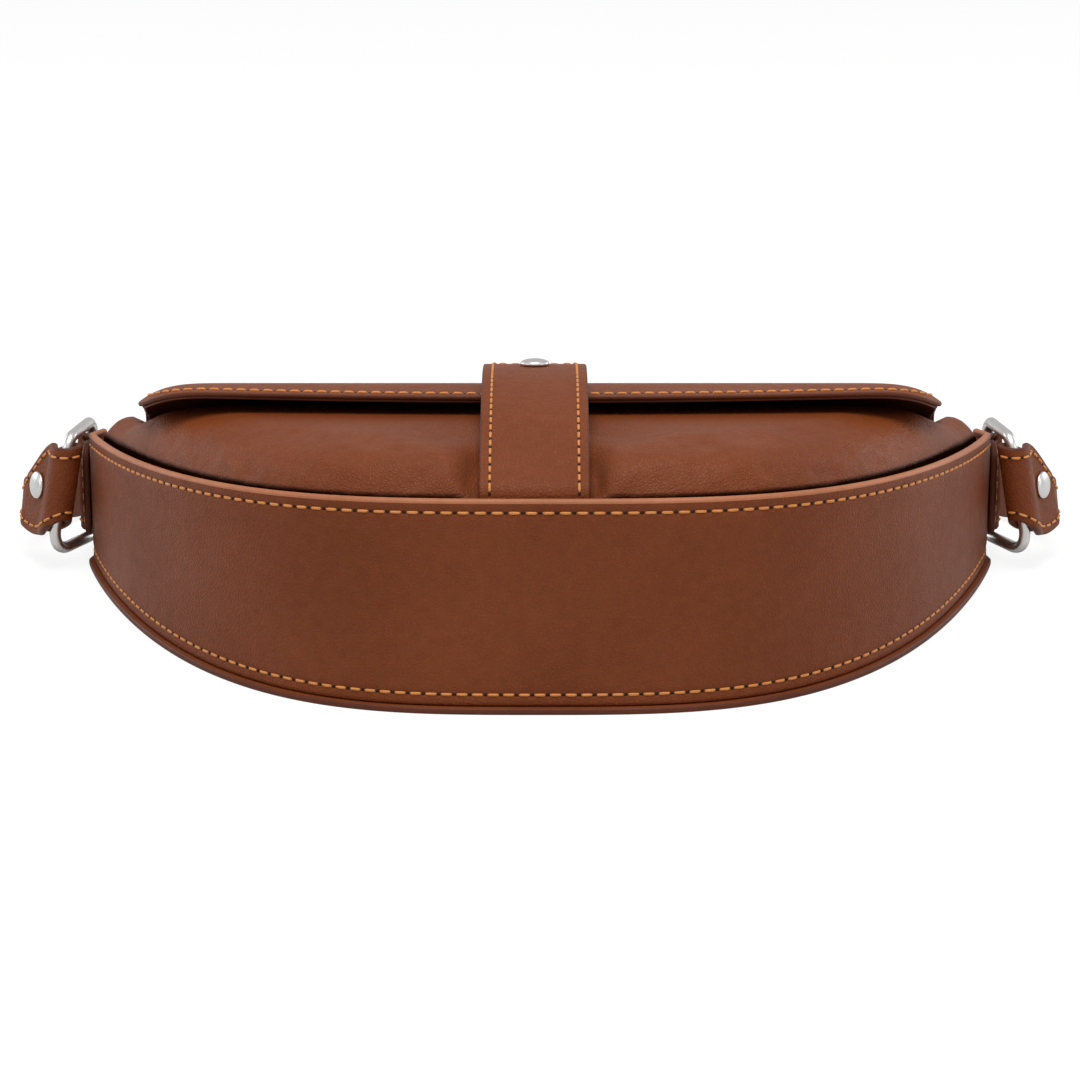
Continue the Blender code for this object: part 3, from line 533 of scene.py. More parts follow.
# Boards
# Pressed fibre boards stiffen the back, the gusset and the front behind their leather. Their
# solids come with the frame, and get only their finish here.
def board_finish():
    """Pressed fibre: a pale brown with short fibres, from a noise stretched along X."""
    finish, tree, shader = new_finish("fibre_board")
    place = node(tree, "TexCoord").outputs["Object"]
    stretched = node(tree, "Mapping", {"Vector": place, "Scale": (300, 1600, 1600)}).outputs[0]
    fibres = noise(tree, stretched, 1, 5, 0.6)
    relief = node(tree, "Bump", {"Height": fibres, "Strength": 0.4, "Distance": 0.1 * mm})
    fill(shader, {"Base Color": colour_between(tree, fibres, (0.34, 0.25, 0.16, 1), (0.22, 0.15, 0.09, 1)),
                  "Normal": relief.outputs["Normal"], "Roughness": 0.85})
    return finish


fibre_board = board_finish()
for name in ("back_stiffener", "gusset_stiffener", "front_backing"):
    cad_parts[name].data.materials.clear()
    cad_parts[name].data.materials.append(fibre_board)


# Padded front
# Tan leather over foam, sewn down just inside the gusset's high edge. It swells steeply into a
# soft roll, lies lower under the flap, stands fuller at the two horns, and is drawn down where
# the closure strap comes up through the seam.
skin_edge_drop = 1.5 * mm
skin_inset = 2.8 * mm
pad_thickness = 6.7 * mm
pad_rows = 44
pad_row_power = 1.5
pad_stations = 201
front_puff = 16.5 * mm
puff_reach = 5 * mm
puff_mouth_share = 0.12
puff_full_height = 97 * mm
puff_horn_share = 0.58
puff_horn_start = 123.8 * mm
puff_horn_reach = 14 * mm
pinch_half_width = 20 * mm
pinch_reach = 17 * mm
pinch_depth = 1.5 * mm
closure_centre = -1.6 * mm
pad_voxel = 2.2 * mm
pad_slack = 1.0 * mm
pad_side_slack = 0.25 * mm
pad_limit = 1.3 * mm
pad_held_rise = 1.2 * mm
pad_top_ease = 0.25 * mm
pad_frames = 20
pad_gap = 1.7 * mm
pad_fade_reach = 22 * mm
roll_drop = 2.9 * mm
roll_reach = 1.5 * mm
# Painted shade: where the pad dips into the gap under the rim, its lowest band along the seam goes near
# black and loses its gloss.
painted_shade_levels = (0.0, 1.3)
painted_shade_edge_in = 1.2 * mm
painted_shade_tone = (0.010, 0.0025, 0.0008, 1)
skin_edge = crescent(skin_inset, 481)
distance_batch = 4000


def smooth_step(share):
    """Three times the square of a share, less twice its cube, between zero and one."""
    share = np.clip(share, 0, 1)
    return (3 - 2 * share) * share ** 2


def pad_fade(y):
    """Share of the gap between pad and gusset: whole along the front, gone at the mouth."""
    return smooth_step((mouth - y) / pad_fade_reach)


def edge_distance(x, y):
    """Distance of places from the pad's edge line: that of the gusset's inner side, less the gap."""
    flat = np.stack([np.ravel(x), np.ravel(y)], axis=-1)
    near = [np.sqrt(((part[:, None, :] - skin_edge[None]) ** 2).sum(axis=2)).min(axis=1)
            for part in np.array_split(flat, max(1, len(flat) // distance_batch))]
    return np.maximum(np.concatenate(near).reshape(np.shape(x)) - pad_gap * pad_fade(y), 0)


def skin_height(x, y):
    """Height of the padded front's outer face at a place.

    An exponential rise with the distance from the pad's edge, times a smooth fall towards the
    mouth that is weaker past the flap's ends, less a pinch: one bell across the closure strap
    times another along the distance. The edge itself rolls down by a second, short exponential.
    """
    inside = edge_distance(x, y)
    ease = smooth_step((y + mouth - puff_full_height) / (body_height - puff_full_height))
    horn = smooth_step((np.abs(x) - puff_horn_start) / puff_horn_reach)
    fuller = (puff_horn_share - puff_mouth_share) * horn
    fall = 1 - (1 - puff_mouth_share - fuller * ease) * ease
    pinch = np.exp(-((x - closure_centre) / pinch_half_width) ** 6 - (inside / pinch_reach) ** 2)
    puff = front_puff * (1 - np.exp(-inside / puff_reach)) * fall * (1 - pinch)
    roll = roll_drop * np.exp(-inside / roll_reach)
    return rim_height(y) - skin_edge_drop + puff - pinch_depth * pinch - roll


def pad_solid():
    """The closed pad: the outer face less some slack, closed by a wall and a flat inner face."""
    shares = 1 - (1 - np.linspace(0, 1, pad_rows)) ** pad_row_power
    edge = crescent(skin_inset + pad_side_slack, pad_stations)
    gap = crescent(skin_inset + pad_gap, pad_stations) - crescent(skin_inset, pad_stations)
    edge += gap * pad_fade(edge[:, 1:])
    flat = crescent_rows(edge[1:-1], shares)
    base = rim_height(flat[:, :, 1])
    seam = base - skin_edge_drop
    rise = skin_height(flat[:, :, 0], flat[:, :, 1]) - seam
    top = seam + np.maximum(rise - pad_slack, np.minimum(rise, 0))
    points = np.vstack([with_height(flat, z).reshape(-1, 3) for z in (top, base - pad_thickness)])
    index = np.arange(top.size).reshape(top.shape)
    loop = rim_loop(index)
    skin = quads(index)
    walls = quads(closed_ring(np.vstack([loop, loop + index.size])).T)
    faces = np.vstack([skin, skin[:, ::-1] + index.size, walls])
    return mesh_piece("padded_front", points, faces.tolist(), [tan_leather])


def apply_modifiers(piece):
    """Make what the modifiers give the piece's own mesh."""
    bpy.context.view_layer.update()
    seen = piece.evaluated_get(bpy.context.evaluated_depsgraph_get())
    made = bpy.data.meshes.new_from_object(seen)
    piece.modifiers.clear()
    piece.data = made
    made.shade_smooth()


def vertex_places(mesh):
    """The places of a mesh's vertices as one array."""
    places = np.zeros(len(mesh.vertices) * 3)
    mesh.vertices.foreach_get("co", places)
    return places.reshape(-1, 3)


def swell(piece):
    """Let the pad swell as cloth under pressure, held at its seam and its inner face.

    No point moves further than the limit, nor above the height that leaves the flap and the
    closure strap clear.
    """
    start = vertex_places(piece.data)
    above = start[:, 2] - rim_height(start[:, 1]) + skin_edge_drop
    held = piece.vertex_groups.new(name="held")
    held.add(np.flatnonzero(above < pad_held_rise).tolist(), 1.0, "REPLACE")
    cloth = piece.modifiers.new("swell", "CLOTH")
    cloth.settings.quality = 6
    cloth.settings.mass = 0.3
    cloth.settings.use_pressure = True
    cloth.settings.uniform_pressure_force = 4
    cloth.settings.tension_stiffness = 12
    cloth.settings.bending_stiffness = 1.5
    cloth.settings.effector_weights.gravity = 0
    cloth.settings.vertex_group_mass = "held"
    cloth.point_cache.frame_start = 1
    cloth.point_cache.frame_end = pad_frames
    for step in range(1, pad_frames + 1):
        bpy.context.scene.frame_set(step)
    seen = piece.evaluated_get(bpy.context.evaluated_depsgraph_get())
    moved = vertex_places(seen.data) - start
    size = np.linalg.norm(moved, axis=1)
    placed = start + moved * np.minimum(1, pad_limit / np.maximum(size, 1e-9))[:, None]
    top = skin_height(placed[:, 0], placed[:, 1]) + pad_top_ease
    placed[:, 2] = np.minimum(placed[:, 2], top)
    piece.modifiers.clear()
    piece.data.vertices.foreach_set("co", placed.reshape(-1))
    piece.data.update()
    bpy.context.scene.frame_set(1)


def seam_shade_leather():
    """The tan leather, with painted shade in the crease along the pad's seam: near black and without gloss.

    The share of shade is one up to the crease's first level, and none from its last.
    """
    finish = tan_leather.copy()
    finish.name = "front_leather"
    tree = finish.node_tree
    grain = next(item for item in tree.nodes if item.type == "GROUP")
    level = node(tree, "Attribute", attribute_name="crease").outputs["Fac"]
    shade = ramp(tree, level, painted_shade_levels, (1, 0), "SMOOTHSTEP")
    fill(tree.nodes["Principled BSDF"], {
        "Base Color": colour_between(tree, shade, grain.outputs["Color"], painted_shade_tone),
        "Specular IOR Level": ramp(tree, level, painted_shade_levels, (0, leather_shine), "SMOOTHSTEP")})
    return finish


def mark_seam_shade(piece):
    """Store each vertex's level in the crease, in millimetres, which sets the painted shade there.

    The level is the larger of its height over the rim and its way in from the edge.
    """
    place = vertex_places(piece.data)
    level = np.maximum(place[:, 2] - rim_height(place[:, 1]),
                       edge_distance(place[:, 0], place[:, 1]) - painted_shade_edge_in)
    layer = piece.data.attributes.new("crease", "FLOAT", "POINT")
    layer.data.foreach_set("value", (level / mm).astype(np.float32))


front = pad_solid()
cover = front.modifiers.new("even", "REMESH")
cover.mode = "VOXEL"
cover.voxel_size = pad_voxel
apply_modifiers(front)
swell(front)
smooth = front.modifiers.new("smooth", "SUBSURF")
smooth.levels = smooth.render_levels = 1
apply_modifiers(front)
# Painted shade on the pad along its seam, set by a level stored on each vertex.
mark_seam_shade(front)
front.data.materials.clear()
front.data.materials.append(seam_shade_leather())
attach(front, "body")
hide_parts("front_panel", "front_foam")


# Seam allowance
# The gusset's and the front's leathers are turned in together under their seam. They floor the
# narrow gap between the rim and the pad, dark all over with edge paint as painted shade.
allowance_drop = 2.6 * mm
allowance_thickness = 0.8 * mm
allowance_insets = np.linspace(2.02, 5.2, 6) * mm
ledge = np.stack([crescent(step, edge_stations)[1:-1] for step in allowance_insets])
# The dark edge finish on both faces is painted shade for the gap's floor.
allowance = sheet("seam_allowance", with_height(ledge, rim_height(ledge[:, :, 1]) - allowance_drop),
                  allowance_thickness, [edge_leather, edge_leather])
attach(allowance, "body")


# Lining
# A brown woven cloth bag, open at the mouth, fills the inside. A patch of the same cloth is sewn
# to its back wall as a slip pocket, bowed a little so that its mouth stands open.
lining_inset = 4.0 * mm
lining_low = 3.8 * mm
lining_drop = 8.5 * mm
lining_thickness = 0.8 * mm
lining_rows = 26
lining_side_rows = 12


def cloth_group():
    """Plain weave: two sets of threads crossing, from sine waves of the place along X and Y."""
    group, given, out = new_group(
        "plain_weave", {"Tone": (0.1, 0.05, 0.03, 1), "Shade": (0.05, 0.02, 0.01, 1), "Threads": 1800.0},
        ("Color", "Height"))
    parts = node(group, "SeparateXYZ", {0: node(group, "TexCoord").outputs["Object"]}).outputs
    angles = [maths(group, "MULTIPLY", parts[axis], given["Threads"]) for axis in ("X", "Y")]
    waves = [maths(group, "ABSOLUTE", maths(group, "SINE", angle)) for angle in angles]
    both = maths(group, "MULTIPLY", *waves)
    fill(out, {"Color": colour_between(group, both, given["Shade"], given["Tone"]), "Height": both})
    return group


lining_cloth = patterned("lining_cloth", cloth_group(),
                         {"Tone": (0.13, 0.062, 0.036, 1), "Shade": (0.06, 0.026, 0.015, 1)},
                         (0.6, 0.2 * mm), {"Roughness": 0.8, "Sheen Weight": 0.3})


def lining_points():
    """Back wall from the mouth to the edge, the side wall up, and the front wall back again."""
    walls = crescent_rows(crescent(lining_inset, pad_stations)[1:-1], np.linspace(0, 1, lining_rows))
    low = with_height(walls, lining_low)
    high = with_height(walls, rim_height(walls[:, :, 1]) - lining_drop)
    shares = np.linspace(0, 1, lining_side_rows)[1:-1, None, None]
    side = low[-1:] + (high[-1:] - low[-1:]) * shares
    return np.concatenate([low, side, high[::-1]])


lining = sheet("lining_bag", lining_points(), lining_thickness, [lining_cloth, lining_cloth])
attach(lining, "body")
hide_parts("lining")

pocket_half_width = 60 * mm
pocket_low, pocket_high = -14 * mm, 56 * mm
pocket_base, pocket_gape = 4.9 * mm, 5.4 * mm
pocket_rows = 36
pocket_hem_row = 33


def pocket_points():
    """The patch: flat at its sewn sides and foot, and bowed out between them."""
    u = np.linspace(-1, 1, 61)[None, :]
    v = np.linspace(0, 1, pocket_rows)[:, None]
    x = pocket_half_width * u + 0 * v
    y = pocket_low + (pocket_high - pocket_low) * v + 0 * u
    bow = (1 - np.abs(u) ** 5) * (1 - (1 - v) ** 5)
    z = pocket_base + lining_thickness + pocket_gape * bow
    return np.dstack([x, y, z])


pocket = sheet("pocket_patch", pocket_points(), lining_thickness, [lining_cloth, lining_cloth])
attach(pocket, "body")
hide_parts("slip_pocket")
hem = pocket_points()[pocket_hem_row]
hem_row = stitches("pocket_hem_stitches", hem, np.tile([0, 0, 1], (len(hem), 1)), 3.0 * mm,
                   length=2.2 * mm, width=0.6 * mm)
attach(hem_row, "body")


# Flap
# The back's leather goes on past its top edge: up across the mouth, over a rounded shoulder and
# down the front to a bowed edge with round corners. A thinner leather lines it, and its edge is
# sewn and painted.
flap_half_width = 124 * mm
flap_thickness = 1.4 * mm
flap_lining_thickness = 0.8 * mm
layer_gap = 0.03 * mm
flap_reach = 82 * mm
flap_front_height = 76.4 * mm
flap_bow = 10 * mm
flap_corner_radius = 17 * mm
flap_shoulder_radius = 7 * mm
flap_first_slope_share = 0.05
flap_last_slope_share = 0.4
flap_level_reach = 14 * mm
flap_slope_reach = 20 * mm
flap_end_drop = 9.2 * mm
flap_end_reach = 30 * mm
flap_end_power = 4.2
flap_flare_share = 0.048
flap_end_fade = 70 * mm
flap_end_fade_share = 0.75
spine_face = mouth + 4.6 * mm
flap_fold_height = 0.5 * mm
flap_turn_radius = 2.2 * mm
flap_foot_low = 0.25 * mm
flap_spread_share = 0.47
flap_row_in = 3.2 * mm
flap_row_end = 84 * mm
flap_under_inset = 0.35 * mm
flap_under_short = 9 * mm
row_lift = 0.02 * mm
facing_step = 1.0 * mm


def flap_rise(run):
    """Height above the front edge: a slope that grows from its first to its last share."""
    bending = np.clip(run - flap_level_reach, 0, flap_slope_reach)
    beyond = np.maximum(run - flap_level_reach - flap_slope_reach, 0)
    change = (flap_last_slope_share - flap_first_slope_share) / flap_slope_reach
    return -(flap_first_slope_share * (run - beyond) + change * bending ** 2 / 2
             + flap_last_slope_share * beyond)


def flap_profile():
    """The flap's outer face at its middle, as Y and Z: front, shoulder, spine and the turn below."""
    front_y = mouth - flap_reach
    runs = np.linspace(0, spine_face - 0.8 * flap_shoulder_radius - front_y, 90)
    slope = np.column_stack([front_y + runs, flap_front_height + flap_rise(runs)])
    lean = math.atan(flap_last_slope_share)
    centre = slope[-1] - flap_shoulder_radius * np.array([math.sin(lean), math.cos(lean)])
    turn = np.linspace(math.pi / 2 - lean, 0, 26)[1:]
    start = slope[-1, 0] - centre[0]
    stretch = (spine_face - slope[-1, 0]) / (flap_shoulder_radius - start)
    shoulder = np.column_stack([
        slope[-1, 0] + (flap_shoulder_radius * np.cos(turn) - start) * stretch,
        centre[1] + flap_shoulder_radius * np.sin(turn)])
    spine_z = np.linspace(shoulder[-1, 1], flap_foot_low + flap_turn_radius, 34)[1:]
    spine = np.column_stack([np.full(len(spine_z), spine_face), spine_z])
    bend = np.linspace(0, math.pi / 2, 10)[1:]
    foot = np.column_stack([spine_face - flap_turn_radius * (1 - np.cos(bend)),
                            flap_foot_low + flap_turn_radius * (1 - np.sin(bend))])
    return np.vstack([slope, shoulder, spine, foot, [[mouth + back_lip + 0.3 * mm, flap_foot_low]]])


flap_line = flap_profile()
flap_run = run_along(flap_line)
flap_along = directions(flap_line)


def corner_cut(x, half_width, corner):
    """How far round corners cut back at places across a width: a radius less a quarter circle."""
    past = np.clip(np.abs(x) - (half_width - corner), 0, corner)
    return corner - np.sqrt(np.maximum(corner ** 2 - past ** 2, 0))


def closer_at_ends(half_width, count, spread_share):
    """Places across a width, closer towards its two ends: the sine of even angles."""
    spread = spread_share * math.pi
    return half_width * np.sin(np.linspace(-spread, spread, count)) / math.sin(spread)


def flap_front_run(x, half_width, corner):
    """Where the front edge lies: a bow that grows with the square of x, and round corners."""
    return flap_bow * (x / half_width) ** 2 + corner_cut(x, half_width, corner)


def flap_places(x, run, offset):
    """Places on the flap: a run back from the front edge along its face, and an offset inwards.

    Towards its two ends the front drops by a power of the distance into the end's reach. The
    width grows evenly from the front edge to the mouth.
    """
    y, z = columns_at(run, flap_run, flap_line)
    ahead_y, ahead_z = columns_at(run, flap_run, flap_along)
    size = np.hypot(ahead_y, ahead_z)
    past = np.maximum(0, (np.abs(x) - (flap_half_width - flap_end_reach)) / flap_end_reach)
    on_top = np.clip((z - flap_fold_height) / (flap_front_height - flap_fold_height), 0, 1)
    fade = on_top * (1 - flap_end_fade_share * np.minimum(1, run / flap_end_fade))
    drop = flap_end_drop * fade * past ** flap_end_power
    lean = flap_end_power * drop / np.maximum(past, 1e-6) / flap_end_reach
    side = np.sign(x) * offset * lean / np.hypot(1, lean)
    flare = 1 + flap_flare_share * np.minimum(1, run / flap_reach)
    return np.dstack([(x - side) * flare, y + offset * ahead_z / size, z - drop - offset * ahead_y / size])


def flap_grid(inset, offset, last_run, columns=151, rows=110):
    """One layer of the flap as a grid, its columns closer towards the two ends."""
    half_width, corner = flap_half_width - inset, flap_corner_radius - inset
    x = closer_at_ends(half_width, columns, flap_spread_share)
    first = flap_front_run(x, half_width, corner) + inset
    shares = np.linspace(0, 1, rows)[:, None]
    run = first[None, :] + (last_run - first[None, :]) * shares
    return flap_places(np.broadcast_to(x, run.shape), run, offset)


flap = sheet("flap_leather", flap_grid(0, 0, flap_run[-1]), flap_thickness, [tan_leather, edge_leather])
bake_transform(flap)
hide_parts("flap")

lining_leather = leather("lining_leather", (0.125, 0.030, 0.009), (0.088, 0.020, 0.006), 700, 0.55, 0.35)
flap_under_grid = flap_grid(flap_under_inset, flap_thickness + layer_gap, flap_run[-1] - flap_under_short)
flap_under = sheet("flap_under_leather", flap_under_grid, flap_lining_thickness,
                   [lining_leather, edge_leather])
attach(flap_under, "flap")
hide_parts("flap_lining")


def flap_row():
    """The line of stitches and its facing: up one side, along the front edge and down the other."""
    half_width = flap_half_width - flap_row_in
    front_x = np.linspace(-half_width, half_width, 801)
    front_run = flap_front_run(front_x, half_width, flap_corner_radius - flap_row_in) + flap_row_in
    side_run = np.linspace(front_run[0], flap_row_end, 120)[:0:-1]
    side_x = np.full(len(side_run), half_width)
    x = np.concatenate([-side_x, front_x, side_x])[None, :]
    run = np.concatenate([side_run, front_run, side_run[::-1]])[None, :]
    row = flap_places(x, run, -row_lift)[0]
    return row, row - flap_places(x, run, facing_step)[0]


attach(stitches("flap_stitches", *flap_row(), 4.2 * mm, length=3.2 * mm, width=0.85 * mm), "flap")


# Closure strap
# A strap of tan leather with a thinner leather under it. Its low end is sewn into the bottom
# seam between the gusset and the front. It stands up out of the seam, bends back over the front
# and the flap, and ends in round corners under the snap's cap.
closure_width = 31 * mm
closure_thickness = 1.5 * mm
closure_lining_thickness = 0.8 * mm
closure_run = 94 * mm
closure_first_slope_share = 0.5492
closure_bend = 228.82 * mm
closure_total = 2.6 * mm
closure_y = -74.0 * mm
closure_z = 66.16 * mm
closure_foot_z = 56 * mm
closure_turn_radius = 3.2 * mm
closure_side = closure_width / 2
closure_corner = 0.45 * closure_side
closure_row_in = 2.6 * mm
closure_row_start = 8.5 * mm
closure_row_sink = 0.3 * mm
closure_under_inset = 0.3 * mm
closure_under_extra = 0.2 * mm
closure_spread_share = 0.46


def closure_profile():
    """Middle line as Y and Z: up out of the seam, round a small turn and along a falling slope.

    Past the fold the height is a first slope times the run, less the run's square over the bend.
    """
    run = np.linspace(0, closure_run, 160)
    back_y = closure_y + run
    back_z = closure_z + closure_first_slope_share * run - run ** 2 / closure_bend
    join = 12
    slope = closure_first_slope_share - 2 * run[join] / closure_bend
    angle = math.atan(slope)
    start = np.array([back_y[join], back_z[join]])
    low = np.array([closure_y - 0.1 * mm, closure_z - 1.6 * mm])
    t = np.linspace(0, 1, 16)[:, None]
    reach = closure_turn_radius * 1.7
    first = low + [0, reach * 0.7]
    last = start - reach * 0.8 * np.array([math.cos(angle), math.sin(angle)])
    turn = (1 - t) ** 3 * low + 3 * (1 - t) ** 2 * t * first + 3 * (1 - t) * t ** 2 * last + t ** 3 * start
    foot = np.column_stack([np.full(8, low[0]), np.linspace(closure_foot_z, low[1], 9)[:-1]])
    return np.vstack([foot, turn, np.column_stack([back_y, back_z])[join + 1:]])


closure_line = closure_profile()
closure_length = run_along(closure_line)
closure_along = directions(closure_line)


def closure_places(x, run, out):
    """Places on the strap: a run along its middle line and a distance out towards its grain side."""
    y, z = columns_at(run, closure_length, closure_line)
    ahead_y, ahead_z = columns_at(run, closure_length, closure_along)
    return np.dstack([closure_centre + x, y - out * ahead_z, z + out * ahead_y])


def closure_grid(out, inset=0.0, columns=41, rows=130):
    """One layer of the strap, its end's corners rounded by a quarter circle."""
    x = closer_at_ends(closure_side - inset, columns, closure_spread_share)
    last = closure_length[-1] - inset - corner_cut(x, closure_side, closure_corner)
    run = last[None, :] * np.linspace(0, 1, rows)[:, None]
    return closure_places(np.broadcast_to(x, run.shape), run, out)


closure = sheet("closure_leather", closure_grid(closure_total / 2), closure_thickness,
                [tan_leather, edge_leather])
closure_under = sheet("closure_under_leather",
                      closure_grid(closure_total / 2 - closure_thickness - layer_gap, closure_under_inset),
                      closure_lining_thickness + closure_under_extra, [lining_leather, edge_leather])
for piece, nodes, finish in ((closure, ("closure_strap", "closure_anchor"), "tan_leather"),
                             (closure_under, ("closure_strap_lining",), "dark_leather")):
    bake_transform(piece)
    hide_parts(*nodes)


def closure_row():
    """The line of stitches and its facing: up one edge, round the end and down the other edge.

    Across the end the row lies a little lower, by the fourth power of the way to its edges.
    """
    side = closure_side - closure_row_in
    corner = closure_corner - 0.6 * closure_row_in
    end_run = closure_length[-1] - closure_row_in
    quarter = np.linspace(0, math.pi / 2, 14)[1:]
    up_side = np.linspace(closure_row_start, end_run - corner, 90)
    half_x = np.concatenate([np.full(90, side), side - corner + corner * np.cos(quarter)])
    half_run = np.concatenate([up_side, end_run - corner + corner * np.sin(quarter)])
    x = np.concatenate([-half_x, half_x[::-1]])
    run = np.concatenate([half_run, half_run[::-1]])[None, :]
    lift = row_lift - closure_row_sink * (1 - (x / side) ** 4)
    row = closure_places(x[None, :], run, closure_total / 2 + lift[None, :])[0]
    return row, closure_places(x[None, :], run, closure_total / 2 + facing_step)[0] - row


closure_stitches = stitches("closure_stitches", *closure_row(), 4.0 * mm, length=3.0 * mm, width=0.85 * mm)
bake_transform(closure_stitches)


# Snap
# A pressed steel snap: the domed cap and its socket are riveted through the strap's end, and the
# stud under them is set on the flap.
snap_from_end = 14 * mm
snap_cap_radius = 4.5 * mm
snap_cap_height = 2.2 * mm
snap_post_radius = 1.6 * mm
snap_post_length = 2.95 * mm
snap_socket_radius = 6.5 * mm
snap_socket_height = 2.6 * mm
cap_seat = 0.05 * mm
turn_steps = 72


def metal_group():
    """Brushed metal: fine scratches from a noise stretched along X, over soft clouds of tarnish."""
    group, given, out = new_group(
        "brushed_metal", {"Scratches": 9000.0, "Gloss": 0.22}, ("Color", "Roughness", "Height"))
    place = node(group, "TexCoord").outputs["Object"]
    stretched = node(group, "Mapping", {"Vector": place, "Scale": (0.08, 1, 1)}).outputs[0]
    scratch = noise(group, stretched, given["Scratches"], 3, 0.6)
    cloud = maths(group, "MULTIPLY", noise(group, place, 220, 3), 0.5)
    both = maths(group, "MULTIPLY_ADD", scratch, 0.5, cloud)
    fill(out, {"Color": colour_between(group, both, (0.60, 0.585, 0.57, 1), (0.82, 0.805, 0.79, 1)),
               "Roughness": maths(group, "MULTIPLY_ADD", both, 0.22, given["Gloss"]),
               "Height": scratch})
    return group


brushed_steel = patterned("brushed_steel", metal_group(), {"Gloss": 0.22}, (0.12, 0.05 * mm),
                          {"Metallic": 1})


def turned(name, profile, place, direction, finishes):
    """Turn a profile of radius and height pairs about a direction, from its top to its foot."""
    up = unit(np.asarray(direction, float))
    side = unit(np.cross(up, [1, 0, 0] if abs(up[0]) < 0.9 else [0, 0, 1]))
    angle = circle(turn_steps)[None, :, None]
    around = side * np.cos(angle) + np.cross(up, side) * np.sin(angle)
    radius, height = np.asarray(profile, float).T[:, :, None, None]
    points = np.asarray(place) + radius * around + up * height
    return loft(name, points[::-1], finishes)


def cap_profile(radius, height, post_radius, post_length, foot_radius, foot_height):
    """A domed cap with a rounded lip, a post below it and a round foot."""
    angle = np.linspace(math.pi / 2 - 0.06, 0.12, 12)
    dome = np.column_stack([radius * np.cos(angle) ** 0.92, 0.3 * height + 0.7 * height * np.sin(angle)])
    lip = [(radius, 0.28 * height), (radius * 0.985, 0.12 * height), (radius * 0.94, 0.02 * height)]
    foot = [(post_radius, 0), (post_radius, -post_length), (foot_radius * 0.96, -post_length),
            (foot_radius, -post_length - 0.2 * foot_height),
            (foot_radius, -post_length - 0.8 * foot_height),
            (foot_radius * 0.96, -post_length - foot_height)]
    return np.vstack([dome, lip, foot])


snap_run = closure_run - snap_from_end
snap_slope = closure_first_slope_share - 2 * snap_run / closure_bend
snap_up = np.array([0, -snap_slope, 1]) / math.hypot(1, snap_slope)
snap_middle = np.array([closure_centre, closure_y + snap_run,
                        closure_z + closure_first_slope_share * snap_run - snap_run ** 2 / closure_bend])
snap_profile = cap_profile(snap_cap_radius, snap_cap_height, snap_post_radius, snap_post_length,
                           snap_socket_radius, snap_socket_height)
snap_cap = turned("snap_cap_steel", snap_profile, snap_middle + snap_up * (closure_total / 2 + cap_seat),
                  snap_up, [brushed_steel])
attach(snap_cap, "closure_strap")
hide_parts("snap_cap")
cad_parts["snap_stud"].data.materials.clear()
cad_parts["snap_stud"].data.materials.append(brushed_steel)


# Rings
# One ring of round steel wire at each horn, bent to a tall rectangle with round corners. Its
# inner leg turns in the side tab. Its outer leg, which leans out at its foot, carries the
# shoulder strap.
ring_height = 43 * mm
ring_width = 28.8 * mm
ring_wire = 3.8 * mm
ring_corner = 4.6 * mm
ring_foot_corner = 9 * mm
ring_low = 4.5 * mm
ring_axis_out = 148.8 * mm
ring_axis_y = 160.6 * mm - mouth
ring_splay = 8.2 * mm
ring_clearance = 0.7 * mm
ring_lean_share = 0.18
ring_across = ring_width - ring_wire
ring_tall = ring_height - ring_wire
ring_middle = ring_low + ring_height / 2
ring_reach = math.sqrt(ring_across ** 2 - ring_splay ** 2)
corner_steps = 14
ring_sides = 20


def ring_points(side):
    """A circle carried round the wire's middle line, four quarter circles joined by straight legs."""
    quarter = np.linspace(0, math.pi / 2, corner_steps)
    line, out = [], []
    for corner, (cx, cz) in enumerate(((1, 1), (-1, 1), (-1, -1), (1, -1))):
        angle = quarter + corner * math.pi / 2
        facing = np.column_stack([np.cos(angle), np.sin(angle)])
        radius = ring_foot_corner if cx > 0 > cz else ring_corner
        line.append(facing * radius + [cx * (ring_across / 2 - radius), cz * (ring_tall / 2 - radius)])
        out.append(facing)
    line, out = np.vstack(line), np.vstack(out)
    flat = np.array([side * ring_splay, -ring_reach, 0]) / ring_across
    rise = np.array([0, 0, 1.0])
    base = np.array([side * ring_axis_out, ring_axis_y, ring_middle]) + flat * ring_across / 2
    middle = base + line[:, :1] * flat + line[:, 1:] * rise
    middle[:, 0] -= side * ring_lean_share * line[:, 1] * (line[:, 0] / ring_across + 0.5)
    away = out[:, :1] * flat + out[:, 1:] * rise
    thick = np.cross(flat, rise)
    turn = circle(ring_sides)[None, :, None]
    return middle[:, None] + ring_wire / 2 * (away[:, None] * np.cos(turn) + thick * np.sin(turn))


for side, word in ((-1, "left"), (1, "right")):
    points = ring_points(side)
    ring = loft("ring_wire_" + word, points if side < 0 else points[:, ::-1], [brushed_steel], closed=True)
    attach(ring, "ring_" + word)
    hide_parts("ring_" + word)


# Side tabs
# A short strap of tan leather is folded round each ring's inner leg and sewn to the gusset's end
# with its tail, along both edges and across the tail.
tab_width = 30 * mm
tab_low = 9.5 * mm
tab_thickness = 2.4 * mm
tab_ease = 0.25 * mm
tab_tail = 14 * mm
tab_loop_radius = ring_wire / 2 + ring_clearance + tab_thickness
tab_row_in = 2.2 * mm
tab_row_start = 15.5 * mm
tab_row_corner = 3.8 * mm
tab_corner = 5 * mm
horn_line = crescent(0, 1201)[600:]


def tab_path(side):
    """Outer face of the tab as X and Y: up from the tail, round the leg and down to the gusset."""
    base, top = ring_axis_y - tab_tail, mouth
    y = np.linspace(base, top, 26)
    share = (y - base) / (top - base)
    x = np.interp(y, horn_line[:, 1], horn_line[:, 0]) + 0.3 * mm + tab_thickness * (1 + share)
    turn = np.radians(np.linspace(-38, 228, 40))
    crown = np.column_stack([ring_axis_out + tab_loop_radius * np.cos(turn),
                             ring_axis_y + tab_loop_radius * np.sin(turn)])
    path = np.vstack([np.column_stack([x, y]), crown])
    return path * [side, 1]


